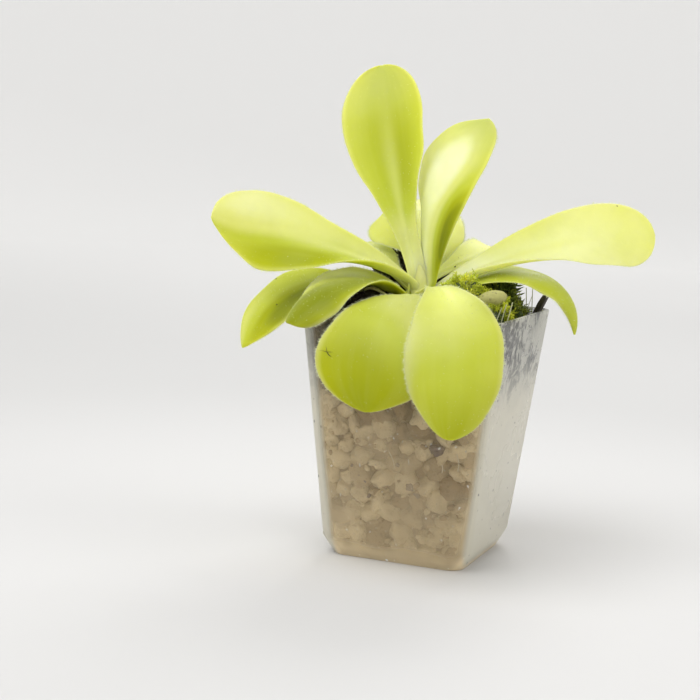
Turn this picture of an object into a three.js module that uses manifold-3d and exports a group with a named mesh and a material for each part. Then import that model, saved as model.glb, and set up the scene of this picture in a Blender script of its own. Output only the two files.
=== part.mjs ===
// A young butterwort (Pinguicula) in a small square tapered pot of clear plastic.
// Millimetres, +Z up. The origin is the middle of the pot's foot, and the pot's front faces -Y.
import * as THREE from 'three';
import { mergeVertices } from 'three/addons/utils/BufferGeometryUtils.js';
import Module from 'manifold-3d';

// ---------------------------------------------------------------- driving dimensions
const POT = {
  topWidth: 55,
  footWidth: 41,
  height: 67,
  wall: 1,
  floor: 1.4,
  topCorner: 5,
  footCorner: 4.5,
  footInset: 2,
  footRise: 5,
  drainRadius: 2.5,
  drainOffset: 12,
};
const GAP = 0.3;

// The pot's filling: pumice below, and above it a mound of peat that swells under the plant.
const PUMICE_TOP = 46;
const SOIL = { atWall: 62, crownRise: 5.8, rippleHeight: 0.35, rings: [1, 0.85, 0.68, 0.5, 0.3, 0.12] };

// What the soil and the moss leave free round a leaf's middle sheet and below it.
const LEAF_SHADOW = 3.2;
const LEAF_CLEARANCE = 1.4;

// The short stem that carries the leaves: where it stands, and its radius and height.
const CROWN = {
  x: -2, y: -2, footRadius: 2.8, radius: 3.3, neckRadius: 1.5, sink: 2.2, shoulder: 73.2, top: 74.4,
  sectors: 16,
};

// The leaves, listed as they stand round the crown. base is where the petiole starts;
// bearing is its compass heading, counted from +X towards +Y, and swing how far that turns
// by the tip; rise is its slope at the base and at the tip, and ease how late the slope
// changes; petiole is the base's width as a share of the blade's; widest is where the blade
// is broadest; shoulder and tip shape its outline; roll turns it about its midrib and cup
// curls its edges, both at the base and at the tip. Angles are in degrees.
const LEAVES = {
  leaf_front_left: {
    base: [-1.8, -6.8, 68.3], bearing: 272, swing: -2, rise: [31, -94], ease: 0.9,
    length: 52, halfWidth: 14.9, petiole: 0.1, widest: 0.73, shoulder: 1.9, tip: 0.68,
    roll: [9, -11], cup: [19, -11],
  },
  leaf_front_right: {
    base: [0.5, -6.1, 71.2], bearing: 307, swing: -22, rise: [20, -97], ease: 1.1,
    length: 65, halfWidth: 12.8, petiole: 0.15, widest: 0.73, shoulder: 2.2, tip: 0.52,
    roll: [4, 1], cup: [53, -76],
  },
  leaf_left: {
    base: [-5.5, -4, 74.4], bearing: 200, swing: -2, rise: [23, 9], ease: 0.8,
    length: 56, halfWidth: 10.1, petiole: 0.21, widest: 0.74, shoulder: 0.9, tip: 0.43,
    roll: [3, -116], cup: [96, -57],
  },
  leaf_left_inner: {
    base: [-5.5, -5, 69.5], bearing: 229, swing: -5, rise: [28, -62], ease: 1.3,
    length: 39, halfWidth: 11.2, petiole: 0.16, widest: 0.59, shoulder: 1.6, tip: 0.31,
    roll: [-9, -2], cup: [82, -68],
  },
  leaf_left_outer: {
    base: [-6.2, -0.7, 69.8], bearing: 194, swing: -1, rise: [14, -86], ease: 1.8,
    length: 56, halfWidth: 10, petiole: 0.19, widest: 0.63, shoulder: 2.2, tip: 0.74,
    roll: [12, -63], cup: [29, -36],
  },
  leaf_right: {
    base: [1.9, -0.5, 72.3], bearing: 19, swing: 12, rise: [27, -3], ease: 1.7,
    length: 62, halfWidth: 10.4, petiole: 0.17, widest: 0.73, shoulder: 1, tip: 0.44,
    roll: [14, 67], cup: [92, 5],
  },
  leaf_right_arched: {
    base: [2.6, -1.5, 69], bearing: 19, swing: 3, rise: [33, -106], ease: 2,
    length: 50, halfWidth: 8.2, petiole: 0.19, widest: 0.6, shoulder: 1.8, tip: 0.79,
    roll: [12, 15], cup: [29, -63],
  },
  leaf_tall: {
    base: [-4.1, -2.6, 77], bearing: 154, swing: -6, rise: [65, 79], ease: 1,
    length: 58, halfWidth: 12.8, petiole: 0.19, widest: 0.74, shoulder: 2.4, tip: 0.52,
    roll: [-44, -70], cup: [68, 18],
  },
  leaf_upright_right: {
    base: [-0.1, -2.6, 74.8], bearing: 222, swing: 14, rise: [86, 152], ease: 1.6,
    length: 50, halfWidth: 9.5, petiole: 0.27, widest: 0.68, shoulder: 1.1, tip: 0.66,
    roll: [22, 27], cup: [84, 4],
  },
  leaf_back_high: {
    base: [-3.4, 1.3, 73.9], bearing: 95, swing: 17, rise: [42, 22], ease: 1,
    length: 41, halfWidth: 9.2, petiole: 0.21, widest: 0.57, shoulder: 1.3, tip: 0.63,
    roll: [61, 5], cup: [38, 4],
  },
  leaf_back_right: {
    base: [0, 1.6, 75.3], bearing: 58, swing: 6, rise: [23, -21], ease: 1.6,
    length: 41, halfWidth: 9.6, petiole: 0.17, widest: 0.65, shoulder: 2.3, tip: 0.33,
    roll: [35, -8], cup: [47, -1],
  },
  leaf_back_left_high: {
    base: [-4.4, 0.1, 78.7], bearing: 134, swing: -2, rise: [48, -1], ease: 1.3,
    length: 29, halfWidth: 9.1, petiole: 0.18, widest: 0.7, shoulder: 2.3, tip: 0.48,
    roll: [-80, -48], cup: [31, 20],
  },
  leaf_back_left_low: {
    base: [-6.6, -1.5, 72.4], bearing: 154, swing: -6, rise: [31, -20], ease: 1.5,
    length: 39, halfWidth: 9.9, petiole: 0.15, widest: 0.57, shoulder: 2.3, tip: 0.48,
    roll: [-4, -9], cup: [72, -28],
  },
  young_leaf: {
    base: [0.8, -0.5, 76], bearing: 42, swing: 0, rise: [86, 72], ease: 1,
    length: 8.5, halfWidth: 1.4, petiole: 0.55, widest: 0.6, shoulder: 1, tip: 0.6,
    roll: [0, 0], cup: [70, 50],
  },
};

// A leaf's thickness at the petiole, in the blade and at the tip, and the share of it that is
// left at the edge. The blade is thickest at bladeFrom of the way along.
const THICKNESS = { petiole: 0.95, blade: 1.2, tip: 0.75, edgeShare: 0.45, bladeFrom: 0.4 };
const TIP_HALF_WIDTH = 0.25;
const SPINE_STEPS = 60;
const LEAF_ROWS = [0, 4, 8, 13, 18, 23, 28, 33, 38, 43, 48, 52, 55, 57.5, 59, 60];
const LEAF_HALF_COLUMNS = 3;
const STRAIGHT = 0.001;

// Cushions of moss, each an oval with a wavy edge, and how they stand on the soil.
const MOSS = {
  moss_right: { x: 13.5, y: -6, across: 9.5, along: 6.5, height: 8, turn: 14 },
  moss_back: { x: 13.5, y: 18.3, across: 8, along: 4.3, height: 3, turn: -10 },
  moss_by_stone: { x: 17.3, y: 8, across: 6.5, along: 4.5, height: 6.5, turn: 12 },
};
// Clumps of black peat and dead moss: one that the plant leans on, one against the left wall.
const PEAT_CLUMPS = {
  peat_clump: { x: -8, y: 11, across: 14, along: 8.5, height: 11, turn: 8 },
  peat_clump_left: { x: -18.7, y: -9.5, across: 6.2, along: 10.5, height: 6.5, turn: 0 },
};
const CUSHION = {
  lift: 0.6, edgeHeight: 0.6, leastHeight: 0.5, sectors: 20, rings: [1, 0.9, 0.72, 0.5, 0.26, 0.08],
};

// What lies on the soil: a pebble, a chip of bark stuck in on edge and a withered leaf.
const STONE = {
  x: 19.3, y: -6.8, z: 71.4, length: 8.2, width: 6, height: 4.6, turn: 25, tilt: -14,
  shadow: 1.6, clearance: 0.4,
};
const BARK = {
  foot: [23.6, 21.8, 64.7], top: [26.4, 23.4, 71.2], width: 3.6, thickness: 1.6,
  sizes: [0.8, 1, 0.85, 0.35],
  section: [[1, 0], [0.6, 1], [-0.7, 0.9], [-1, 0], [-0.6, -1], [0.7, -0.8]],
};
const DRY_LEAF = {
  start: [-6.4, -7.6, 68.6], end: [-15.5, -10.4, 69.4], halfWidth: 1.5, thickness: 0.6,
  arch: 0.9, edgeLift: 0.4, endShare: 0.25, steps: 6,
};

const COLOURS = {
  plastic: 0xd7d2c8,
  pumice: 0xb0997a,
  peat: 0x231c12,
  moss: 0x7f9a1c,
  stone: 0xbcb06c,
  bark: 0x2c241a,
  crown: 0xcdcd7d,
  leaf: 0xcddc60,
  leafShaded: 0xa0b428,
  dryLeaf: 0xa89a58,
};
const SHADED_LEAVES = ['leaf_left_inner', 'leaf_left_outer'];

// ---------------------------------------------------------------- geometry helpers
const wasm = await Module();
wasm.setup();
const DEGREE = Math.PI / 180;
const group = new THREE.Group();

function addPiece(name, geometry, colour, roughness) {
  const material = new THREE.MeshStandardMaterial({ color: colour, roughness, metalness: 0 });
  if (name === 'pot') {
    material.transparent = true;
    material.opacity = 0.4;
  }
  const mesh = new THREE.Mesh(geometry, material);
  mesh.name = name;
  group.add(mesh);
}

function geometryFrom(points, triangles) {
  const geometry = new THREE.BufferGeometry();
  const values = points.flatMap((point) => [point.x, point.y, point.z]);
  geometry.setAttribute('position', new THREE.Float32BufferAttribute(values, 3));
  geometry.setIndex(triangles);
  geometry.computeVertexNormals();
  return geometry;
}

// A closed body through rings of equally many points, each ring counter-clockwise as seen
// from the way the rings advance. Both ends are closed by a fan round the ring's middle.
function loft(rings) {
  const count = rings[0].length;
  const points = rings.flat();
  const triangles = [];
  for (let ring = 0; ring + 1 < rings.length; ring += 1) {
    for (let side = 0; side < count; side += 1) {
      const next = (side + 1) % count;
      const a = ring * count + side;
      const b = ring * count + next;
      triangles.push(a, b, b + count, a, b + count, a + count);
    }
  }
  const lastStart = (rings.length - 1) * count;
  const firstMiddle = points.push(middleOf(rings[0])) - 1;
  const lastMiddle = points.push(middleOf(rings[rings.length - 1])) - 1;
  for (let side = 0; side < count; side += 1) {
    const next = (side + 1) % count;
    triangles.push(firstMiddle, next, side);
    triangles.push(lastMiddle, lastStart + side, lastStart + next);
  }
  return geometryFrom(points, triangles);
}

function middleOf(ring) {
  const middle = new THREE.Vector3();
  ring.forEach((point) => middle.add(point));
  return middle.divideScalar(ring.length);
}

function toSolid(geometry) {
  const bare = geometry.clone();
  bare.deleteAttribute('normal');
  bare.deleteAttribute('uv');
  const merged = mergeVertices(bare, 1e-4);
  return new wasm.Manifold(new wasm.Mesh({
    numProp: 3,
    vertProperties: Float32Array.from(merged.attributes.position.array),
    triVerts: Uint32Array.from(merged.index.array),
  }));
}

function toGeometry(solid) {
  const mesh = solid.getMesh();
  const geometry = new THREE.BufferGeometry();
  geometry.setAttribute('position', new THREE.BufferAttribute(Float32Array.from(mesh.vertProperties), 3));
  geometry.setIndex(Array.from(mesh.triVerts));
  geometry.computeVertexNormals();
  return geometry;
}

// ---------------------------------------------------------------- pot
const CORNER_STEPS = 4;
const DRAIN_SIDES = 16;

function potHalfWidth(z) {
  const taper = (POT.topWidth - POT.footWidth) / 2 * (1 - z / POT.height);
  const foot = POT.footInset * Math.max(0, 1 - z / POT.footRise);
  return POT.topWidth / 2 - taper - foot;
}

function potRing(z, inset) {
  const half = potHalfWidth(z) - inset;
  const corner = THREE.MathUtils.lerp(POT.footCorner, POT.topCorner, z / POT.height) - inset;
  const ring = [];
  for (let quarter = 0; quarter < 4; quarter += 1) {
    const centreX = (half - corner) * (quarter === 0 || quarter === 3 ? 1 : -1);
    const centreY = (half - corner) * (quarter < 2 ? 1 : -1);
    for (let step = 0; step <= CORNER_STEPS; step += 1) {
      const angle = (quarter + step / CORNER_STEPS) * Math.PI / 2;
      const x = centreX + corner * Math.cos(angle);
      const y = centreY + corner * Math.sin(angle);
      ring.push(new THREE.Vector3(x, y, z));
    }
  }
  return ring;
}

function makePot() {
  const shell = loft([
    potRing(0, 0),
    potRing(POT.footRise, 0),
    potRing(POT.height, 0),
    potRing(POT.height, POT.wall),
    potRing(POT.footRise, POT.wall),
    potRing(POT.floor, POT.wall),
  ]);
  let solid = toSolid(shell);
  const drainLength = POT.floor * 4;
  for (const signX of [-1, 1]) {
    for (const signY of [-1, 1]) {
      const drain = new THREE.CylinderGeometry(POT.drainRadius, POT.drainRadius, drainLength, DRAIN_SIDES);
      drain.rotateX(Math.PI / 2);
      drain.translate(signX * POT.drainOffset, signY * POT.drainOffset, 0);
      solid = solid.subtract(toSolid(drain));
    }
  }
  return toGeometry(solid);
}

function makePumiceBed() {
  const inset = POT.wall + GAP;
  return loft([
    potRing(POT.floor + GAP, inset),
    potRing(POT.footRise, inset),
    potRing(PUMICE_TOP, inset),
  ]);
}

// ---------------------------------------------------------------- leaves
const UP = new THREE.Vector3(0, 0, 1);

function headingAt(leaf, share) {
  const bearing = (leaf.bearing + leaf.swing * share) * DEGREE;
  const rise = THREE.MathUtils.lerp(leaf.rise[0], leaf.rise[1], share ** leaf.ease) * DEGREE;
  const level = new THREE.Vector3(Math.cos(bearing), Math.sin(bearing), 0);
  return level.multiplyScalar(Math.cos(rise)).addScaledVector(UP, Math.sin(rise));
}

// The midrib: points spaced evenly along the leaf, walked one step at a time.
function spineOf(leaf) {
  const point = new THREE.Vector3(...leaf.base);
  const points = [point.clone()];
  for (let step = 0; step < SPINE_STEPS; step += 1) {
    point.addScaledVector(headingAt(leaf, (step + 0.5) / SPINE_STEPS), leaf.length / SPINE_STEPS);
    points.push(point.clone());
  }
  return points;
}

function halfWidthAt(leaf, share) {
  if (share < leaf.widest) {
    const swell = Math.sin(Math.PI / 2 * share / leaf.widest) ** leaf.shoulder;
    return leaf.halfWidth * (leaf.petiole + (1 - leaf.petiole) * swell);
  }
  const beyond = Math.min(1, (share - leaf.widest) / (1 - leaf.widest));
  return Math.max(TIP_HALF_WIDTH, leaf.halfWidth * (1 - beyond * beyond) ** leaf.tip);
}

function thicknessAt(share, across) {
  const { petiole, blade, tip, edgeShare, bladeFrom } = THICKNESS;
  const toBlade = THREE.MathUtils.smoothstep(share, 0, bladeFrom);
  const toTip = THREE.MathUtils.smoothstep(share, bladeFrom, 1);
  const middle = petiole + (blade - petiole) * toBlade + (tip - blade) * toTip;
  return middle * (edgeShare + (1 - edgeShare) * (1 - across * across));
}

// One point of the leaf's middle sheet, with the direction square to the sheet there.
function sheetAt(leaf, spine, share, across) {
  const place = share * SPINE_STEPS;
  const low = Math.min(SPINE_STEPS - 1, Math.floor(place));
  const point = spine[low].clone().lerp(spine[low + 1], place - low);
  const tangent = headingAt(leaf, share);
  const bearing = (leaf.bearing + leaf.swing * share) * DEGREE;
  const left = new THREE.Vector3(-Math.sin(bearing), Math.cos(bearing), 0);
  const upper = new THREE.Vector3().crossVectors(tangent, left);
  const roll = THREE.MathUtils.lerp(leaf.roll[0], leaf.roll[1], share) * DEGREE;
  const cup = THREE.MathUtils.lerp(leaf.cup[0], leaf.cup[1], share) * DEGREE || STRAIGHT;
  const side = left.clone().multiplyScalar(Math.cos(roll)).addScaledVector(upper, Math.sin(roll));
  const face = upper.multiplyScalar(Math.cos(roll)).addScaledVector(left, -Math.sin(roll));
  const width = halfWidthAt(leaf, share);
  const curl = cup * across;
  point.addScaledVector(side, width * Math.sin(curl) / cup);
  point.addScaledVector(face, width * (1 - Math.cos(curl)) / cup);
  const normal = face.multiplyScalar(Math.cos(curl)).addScaledVector(side, -Math.sin(curl));
  return { point, normal };
}

// The closed leaf: an upper and a lower grid, joined by a band round the edge.
function makeLeaf(leaf) {
  const spine = spineOf(leaf);
  const columns = LEAF_HALF_COLUMNS * 2;
  const points = [];
  for (const face of [0.5, -0.5]) {
    for (const row of LEAF_ROWS) {
      for (let column = 0; column <= columns; column += 1) {
        const across = column / LEAF_HALF_COLUMNS - 1;
        const { point, normal } = sheetAt(leaf, spine, row / SPINE_STEPS, across);
        points.push(point.addScaledVector(normal, face * thicknessAt(row / SPINE_STEPS, across)));
      }
    }
  }
  const wide = columns + 1;
  const lower = LEAF_ROWS.length * wide;
  const triangles = [];
  for (let row = 0; row + 1 < LEAF_ROWS.length; row += 1) {
    for (let column = 0; column < columns; column += 1) {
      const a = row * wide + column;
      const b = a + wide;
      triangles.push(a, b, b + 1, a, b + 1, a + 1);
      triangles.push(lower + a, lower + b + 1, lower + b, lower + a, lower + a + 1, lower + b + 1);
    }
  }
  const edge = [];
  for (let column = 0; column < columns; column += 1) edge.push(column);
  for (let row = 0; row + 1 < LEAF_ROWS.length; row += 1) edge.push(row * wide + columns);
  for (let column = columns; column > 0; column -= 1) edge.push((LEAF_ROWS.length - 1) * wide + column);
  for (let row = LEAF_ROWS.length - 1; row > 0; row -= 1) edge.push(row * wide);
  edge.forEach((a, index) => {
    const b = edge[(index + 1) % edge.length];
    triangles.push(a, b, lower + b, a, lower + b, lower + a);
  });
  return geometryFrom(points, triangles);
}

// Points of every leaf and of the stone and the withered leaf, each with the distance round it
// and below it that the moss and the peat leave free.
const CEILING_COLUMNS = 16;

function ceilingPoints(litter) {
  const found = [];
  for (const leaf of Object.values(LEAVES)) {
    const spine = spineOf(leaf);
    for (let row = 0; row <= SPINE_STEPS; row += 1) {
      for (let column = 0; column <= CEILING_COLUMNS; column += 1) {
        const across = column / CEILING_COLUMNS * 2 - 1;
        const { point } = sheetAt(leaf, spine, row / SPINE_STEPS, across);
        found.push({ point, around: LEAF_SHADOW, below: LEAF_CLEARANCE });
      }
    }
  }
  for (const { attributes } of litter) {
    for (let index = 0; index < attributes.position.count; index += 1) {
      const point = new THREE.Vector3().fromBufferAttribute(attributes.position, index);
      found.push({ point, around: STONE.shadow, below: STONE.clearance });
    }
  }
  return found;
}

// ---------------------------------------------------------------- soil, moss and litter
function makeStone() {
  const stone = new THREE.IcosahedronGeometry(1, 2);
  const position = stone.attributes.position;
  const point = new THREE.Vector3();
  for (let index = 0; index < position.count; index += 1) {
    point.fromBufferAttribute(position, index);
    const bump = 1 + 0.06 * Math.sin(4 * point.x + 1) + 0.05 * Math.cos(5 * point.y - 2 * point.z);
    point.multiplyScalar(bump);
    position.setXYZ(index, point.x, point.y, point.z);
  }
  stone.scale(STONE.length / 2, STONE.width / 2, STONE.height / 2);
  stone.rotateY(STONE.tilt * DEGREE);
  stone.rotateZ(STONE.turn * DEGREE);
  stone.translate(STONE.x, STONE.y, STONE.z);
  return stone;
}

const tanStone = makeStone();
const dryLeaf = makeDryLeaf();
const ceiling = ceilingPoints([tanStone, dryLeaf]);

function underCeiling(x, y, height) {
  let limit = height;
  for (const { point, around, below } of ceiling) {
    const away = Math.hypot(point.x - x, point.y - y);
    if (away < around) limit = Math.min(limit, point.z - below);
  }
  return limit;
}

function soilHeight(x, y) {
  const inner = potHalfWidth(SOIL.atWall) - POT.wall;
  const reach = Math.min(1, Math.max(Math.abs(x), Math.abs(y)) / inner);
  const ripple = SOIL.rippleHeight * Math.sin(x * 0.55 + 1) * Math.cos(y * 0.5);
  const rise = SOIL.crownRise * (1 - reach * reach) ** 0.8;
  return SOIL.atWall + rise + ripple * (1 - reach);
}

function makePeatMound() {
  const inset = POT.wall + GAP;
  const rings = [potRing(PUMICE_TOP + GAP, inset)];
  const brim = potRing(SOIL.atWall, inset);
  for (const share of SOIL.rings) {
    rings.push(brim.map((point) => {
      const x = point.x * share;
      const y = point.y * share;
      return new THREE.Vector3(x, y, soilHeight(x, y));
    }));
  }
  return loft(rings);
}

// A ring of the cushion at a share of its width. With no thickness it is the underside's.
function cushionRing(cushion, share, thickness) {
  const turn = cushion.turn * DEGREE;
  const ring = [];
  for (let sector = 0; sector < CUSHION.sectors; sector += 1) {
    const angle = sector / CUSHION.sectors * 2 * Math.PI;
    const wobble = 1 + 0.09 * Math.sin(3 * angle + 1) + 0.05 * Math.cos(5 * angle);
    const u = cushion.across * share * wobble * Math.cos(angle);
    const v = cushion.along * share * wobble * Math.sin(angle);
    const x = cushion.x + u * Math.cos(turn) - v * Math.sin(turn);
    const y = cushion.y + u * Math.sin(turn) + v * Math.cos(turn);
    const bottom = soilHeight(x, y) + CUSHION.lift;
    const free = underCeiling(x, y, bottom + thickness);
    const top = thickness ? Math.max(bottom + CUSHION.leastHeight, free) : bottom;
    ring.push(new THREE.Vector3(x, y, top));
  }
  return ring;
}

function makeCushion(cushion) {
  const under = CUSHION.rings.map((share) => cushionRing(cushion, share, 0)).reverse();
  const over = CUSHION.rings.map((share) => {
    const dome = cushion.height * (1 - share * share) ** 0.7;
    return cushionRing(cushion, share, CUSHION.edgeHeight + dome);
  });
  return loft([...under, ...over]);
}

function makeBarkChip() {
  const foot = new THREE.Vector3(...BARK.foot);
  const top = new THREE.Vector3(...BARK.top);
  const sections = BARK.sizes.map((size, index) => {
    const middle = foot.clone().lerp(top, index / (BARK.sizes.length - 1));
    const half = BARK.width / 2 * size;
    const thick = BARK.thickness / 2 * size;
    return BARK.section.map(
      ([u, v]) => new THREE.Vector3(middle.x + v * thick, middle.y - u * half, middle.z),
    );
  });
  return loft(sections);
}

function makeDryLeaf() {
  const start = new THREE.Vector3(...DRY_LEAF.start);
  const end = new THREE.Vector3(...DRY_LEAF.end);
  const across = new THREE.Vector3().crossVectors(UP, end.clone().sub(start)).normalize();
  const thick = DRY_LEAF.thickness / 2;
  const rings = [];
  for (let step = 0; step <= DRY_LEAF.steps; step += 1) {
    const share = step / DRY_LEAF.steps;
    const middle = start.clone().lerp(end, share);
    middle.z += DRY_LEAF.arch * Math.sin(Math.PI * share);
    const swell = Math.sin(Math.PI * THREE.MathUtils.lerp(0.15, 0.95, share));
    const half = DRY_LEAF.halfWidth * THREE.MathUtils.lerp(DRY_LEAF.endShare, 1, swell);
    rings.push([
      middle.clone().addScaledVector(across, half).addScaledVector(UP, DRY_LEAF.edgeLift),
      middle.clone().addScaledVector(UP, thick),
      middle.clone().addScaledVector(across, -half).addScaledVector(UP, DRY_LEAF.edgeLift),
      middle.clone().addScaledVector(UP, -thick),
    ]);
  }
  return loft(rings);
}

function makeCrown() {
  const foot = soilHeight(CROWN.x, CROWN.y);
  const levels = [
    [foot + GAP, CROWN.footRadius],
    [foot + CROWN.sink, CROWN.radius],
    [CROWN.shoulder, CROWN.radius],
    [CROWN.top, CROWN.neckRadius],
  ];
  return loft(levels.map(([z, radius]) => {
    const ring = [];
    for (let sector = 0; sector < CROWN.sectors; sector += 1) {
      const angle = sector / CROWN.sectors * 2 * Math.PI;
      const x = CROWN.x + radius * Math.cos(angle);
      const y = CROWN.y + radius * Math.sin(angle);
      ring.push(new THREE.Vector3(x, y, z));
    }
    return ring;
  }));
}

// ---------------------------------------------------------------- assembly
addPiece('pot', makePot(), COLOURS.plastic, 0.35);
addPiece('pumice_bed', makePumiceBed(), COLOURS.pumice, 0.9);
addPiece('peat_mound', makePeatMound(), COLOURS.peat, 1);
for (const [name, cushion] of Object.entries(MOSS)) {
  addPiece(name, makeCushion(cushion), COLOURS.moss, 0.9);
}
for (const [name, clump] of Object.entries(PEAT_CLUMPS)) {
  addPiece(name, makeCushion(clump), COLOURS.peat, 0.95);
}
addPiece('tan_stone', tanStone, COLOURS.stone, 0.8);
addPiece('bark_chip', makeBarkChip(), COLOURS.bark, 0.9);
addPiece('dry_leaf', dryLeaf, COLOURS.dryLeaf, 0.8);
addPiece('crown', makeCrown(), COLOURS.crown, 0.5);
for (const [name, leaf] of Object.entries(LEAVES)) {
  const colour = SHADED_LEAVES.includes(name) ? COLOURS.leafShaded : COLOURS.leaf;
  addPiece(name, makeLeaf(leaf), colour, 0.4);
}

export default group;
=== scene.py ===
# %% [markdown]
# # A butterwort in a small square pot
# The real object is a young butterwort: a rosette of soft, sticky, yellow-green leaves on a
# short crown. It grows in peat over pumice, in a thin pot of milky clear plastic.
# The imported CAD model fixes where everything is. Most pieces made here take the place of one of
# its nodes, at the same size, with the detail and the finish that the plain solid lacks; the rest,
# such as moss, crumbs and hairs, are added to it.

import math
import random

import bpy
import numpy as np
from mathutils import Matrix, Vector, noise


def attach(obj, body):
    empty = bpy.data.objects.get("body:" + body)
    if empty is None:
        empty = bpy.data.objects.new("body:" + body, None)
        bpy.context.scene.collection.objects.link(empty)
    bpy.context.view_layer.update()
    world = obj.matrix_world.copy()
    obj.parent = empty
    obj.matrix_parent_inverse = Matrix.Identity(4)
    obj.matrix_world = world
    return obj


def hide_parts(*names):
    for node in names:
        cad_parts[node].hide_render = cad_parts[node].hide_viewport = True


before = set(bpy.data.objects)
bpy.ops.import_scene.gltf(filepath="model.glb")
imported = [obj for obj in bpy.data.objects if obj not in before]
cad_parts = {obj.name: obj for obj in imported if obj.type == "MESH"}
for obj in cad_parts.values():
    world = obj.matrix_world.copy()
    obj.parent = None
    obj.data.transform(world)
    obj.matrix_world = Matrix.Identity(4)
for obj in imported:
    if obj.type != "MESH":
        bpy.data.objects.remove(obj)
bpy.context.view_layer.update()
MM = 0.001


# %% [markdown]
# ## Small helpers
# An operator acts on everything that is selected, and the loaded nodes arrive selected. So
# each step starts by clearing the selection. Sizes are written in millimetres, and a mesh is
# scaled to metres when its points are put back.

# %% Helpers for selecting, reading and writing points
def clear_selection():
    if bpy.context.object is not None and bpy.context.object.mode != "OBJECT":
        bpy.ops.object.mode_set(mode="OBJECT")
    bpy.ops.object.select_all(action="DESELECT")


def select_only(piece):
    clear_selection()
    piece.select_set(True)
    bpy.context.view_layer.objects.active = piece


def apply_modifier(piece, kind, **settings):
    """Adds one modifier with its settings and applies it."""
    modifier = piece.modifiers.new(kind.title(), kind)
    for setting, value in settings.items():
        setattr(modifier, setting, value)
    select_only(piece)
    bpy.ops.object.modifier_apply(modifier=modifier.name)


def points_of(piece):
    """The mesh's points in millimetres, one row each."""
    flat = np.zeros(len(piece.data.vertices) * 3)
    piece.data.vertices.foreach_get("co", flat)
    return flat.reshape(-1, 3) / MM


def put_points(piece, points):
    piece.data.vertices.foreach_set("co", (np.asarray(points) * MM).ravel())
    piece.data.update()


def number_points(piece, name, values):
    """Stores one number for each point, for a material to read."""
    attribute = piece.data.attributes.new(name, "FLOAT", "POINT")
    attribute.data.foreach_set("value", np.asarray(values, dtype=np.float32))


def finish_piece(piece, name, material, slot, *nodes):
    """Names a piece, gives it its material and puts it in the place of its CAD nodes."""
    piece.name = name
    piece.data.name = name
    piece.data.materials.clear()
    piece.data.materials.append(material)
    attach(piece, "root")
    if nodes:
        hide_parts(*nodes)
    faces = sum(len(face.vertices) - 2 for face in piece.data.polygons)
    print(name, "triangles:", faces)


def smooth_noise(points, scale, seed):
    """Noise from -1 to 1 at each point, with bumps about as wide as scale."""
    shift = Vector((seed * 7.3, seed * 3.1, seed * 5.7))
    return np.array([noise.noise(Vector(point) / scale + shift) for point in points])


# %% [markdown]
# ## Camera
# The camera looks at the pot from the right of its front face and from a little above. It is a
# long lens from about 40 cm away, so upright edges stay nearly parallel.

# %% Camera
CAMERA = {"place": (129.6, -388.6, 106.7), "azimuth": 21.4, "elevation": 7.3, "roll": 2.9}
LENS_MM = 77.55

clear_selection()
bpy.ops.object.camera_add()
camera = bpy.context.object
camera.name = "camera"
camera.data.lens = LENS_MM
camera.data.sensor_width = 36
camera.data.clip_start = 0.01
camera.data.clip_end = 20
turn = Matrix.Rotation(math.radians(CAMERA["azimuth"]), 3, "Z")
tilt = Matrix.Rotation(math.radians(90 - CAMERA["elevation"]), 3, "X")
roll = Matrix.Rotation(math.radians(CAMERA["roll"]), 3, "Z")
camera.rotation_euler = (turn @ tilt @ roll).to_euler()
camera.location = Vector(CAMERA["place"]) * MM
bpy.context.scene.camera = camera
print("camera at", [round(c, 3) for c in camera.location])

# %% [markdown]
# ## Studio
# A photographer's light tent: a pale floor that curves up into a wall all round, so that no
# horizon shows from any side. The open top lets the soft sky light in. A large key lamp above
# and in front brightens the leaves' upper sides, a weak fill lamp stands at the right, and a
# lamp behind the plant shines through the leaves, which makes them glow, helped by painted
# light in the leaves' colour.

# %% The pale floor that curves up into a wall
FLOOR_RADIUS = 1.3
FLOOR_SIDES = 96
WALL_CURVE = 0.7
WALL_STEPS = 12
WALL_TOP = 1.2

clear_selection()
bpy.ops.mesh.primitive_circle_add(vertices=FLOOR_SIDES, radius=FLOOR_RADIUS, fill_type="NGON")
floor = bpy.context.object
floor.name = "studio_floor"
bpy.ops.object.mode_set(mode="EDIT")
bpy.ops.mesh.select_all(action="SELECT")
reach, height = FLOOR_RADIUS, 0.0
for step in range(1, WALL_STEPS + 2):
    angle = min(step, WALL_STEPS) / WALL_STEPS * math.pi / 2
    next_reach = FLOOR_RADIUS + WALL_CURVE * math.sin(angle)
    next_height = WALL_CURVE * (1 - math.cos(angle)) + (WALL_TOP if step > WALL_STEPS else 0)
    bpy.ops.mesh.extrude_region_move(TRANSFORM_OT_translate={"value": (0, 0, next_height - height)})
    grow = next_reach / reach
    bpy.ops.transform.resize(value=(grow, grow, 1), center_override=(0, 0, next_height))
    reach, height = next_reach, next_height
bpy.ops.mesh.delete(type="FACE")
bpy.ops.mesh.select_all(action="DESELECT")
bpy.ops.object.mode_set(mode="OBJECT")
bpy.ops.object.shade_smooth()
print("floor", round(reach, 2), "m wide, wall", round(height, 2), "m high")

# %% Lamps and sky
KEY_LAMP = {"place": (-0.25, -0.4, 0.95), "size": 0.9, "power": 6.8}
FILL_LAMP = {"place": (0.75, 0.1, 0.5), "size": 0.6, "power": 1.3}
BACK_LAMP = {"place": (-0.05, 0.85, 0.85), "size": 0.6, "power": 4.8}
LAMPS_AIM_AT = (0, 0, 0.07)
SKY_WHITE = (1.0, 0.995, 0.985, 1)
SKY_STRENGTH = 0.315


def add_lamp(name, lamp):
    clear_selection()
    bpy.ops.object.light_add(type="AREA", location=lamp["place"])
    made = bpy.context.object
    made.name = name
    made.data.shape = "DISK"
    made.data.size = lamp["size"]
    made.data.energy = lamp["power"]
    towards = Vector(LAMPS_AIM_AT) - Vector(lamp["place"])
    made.rotation_euler = towards.to_track_quat("-Z", "Y").to_euler()


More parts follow.
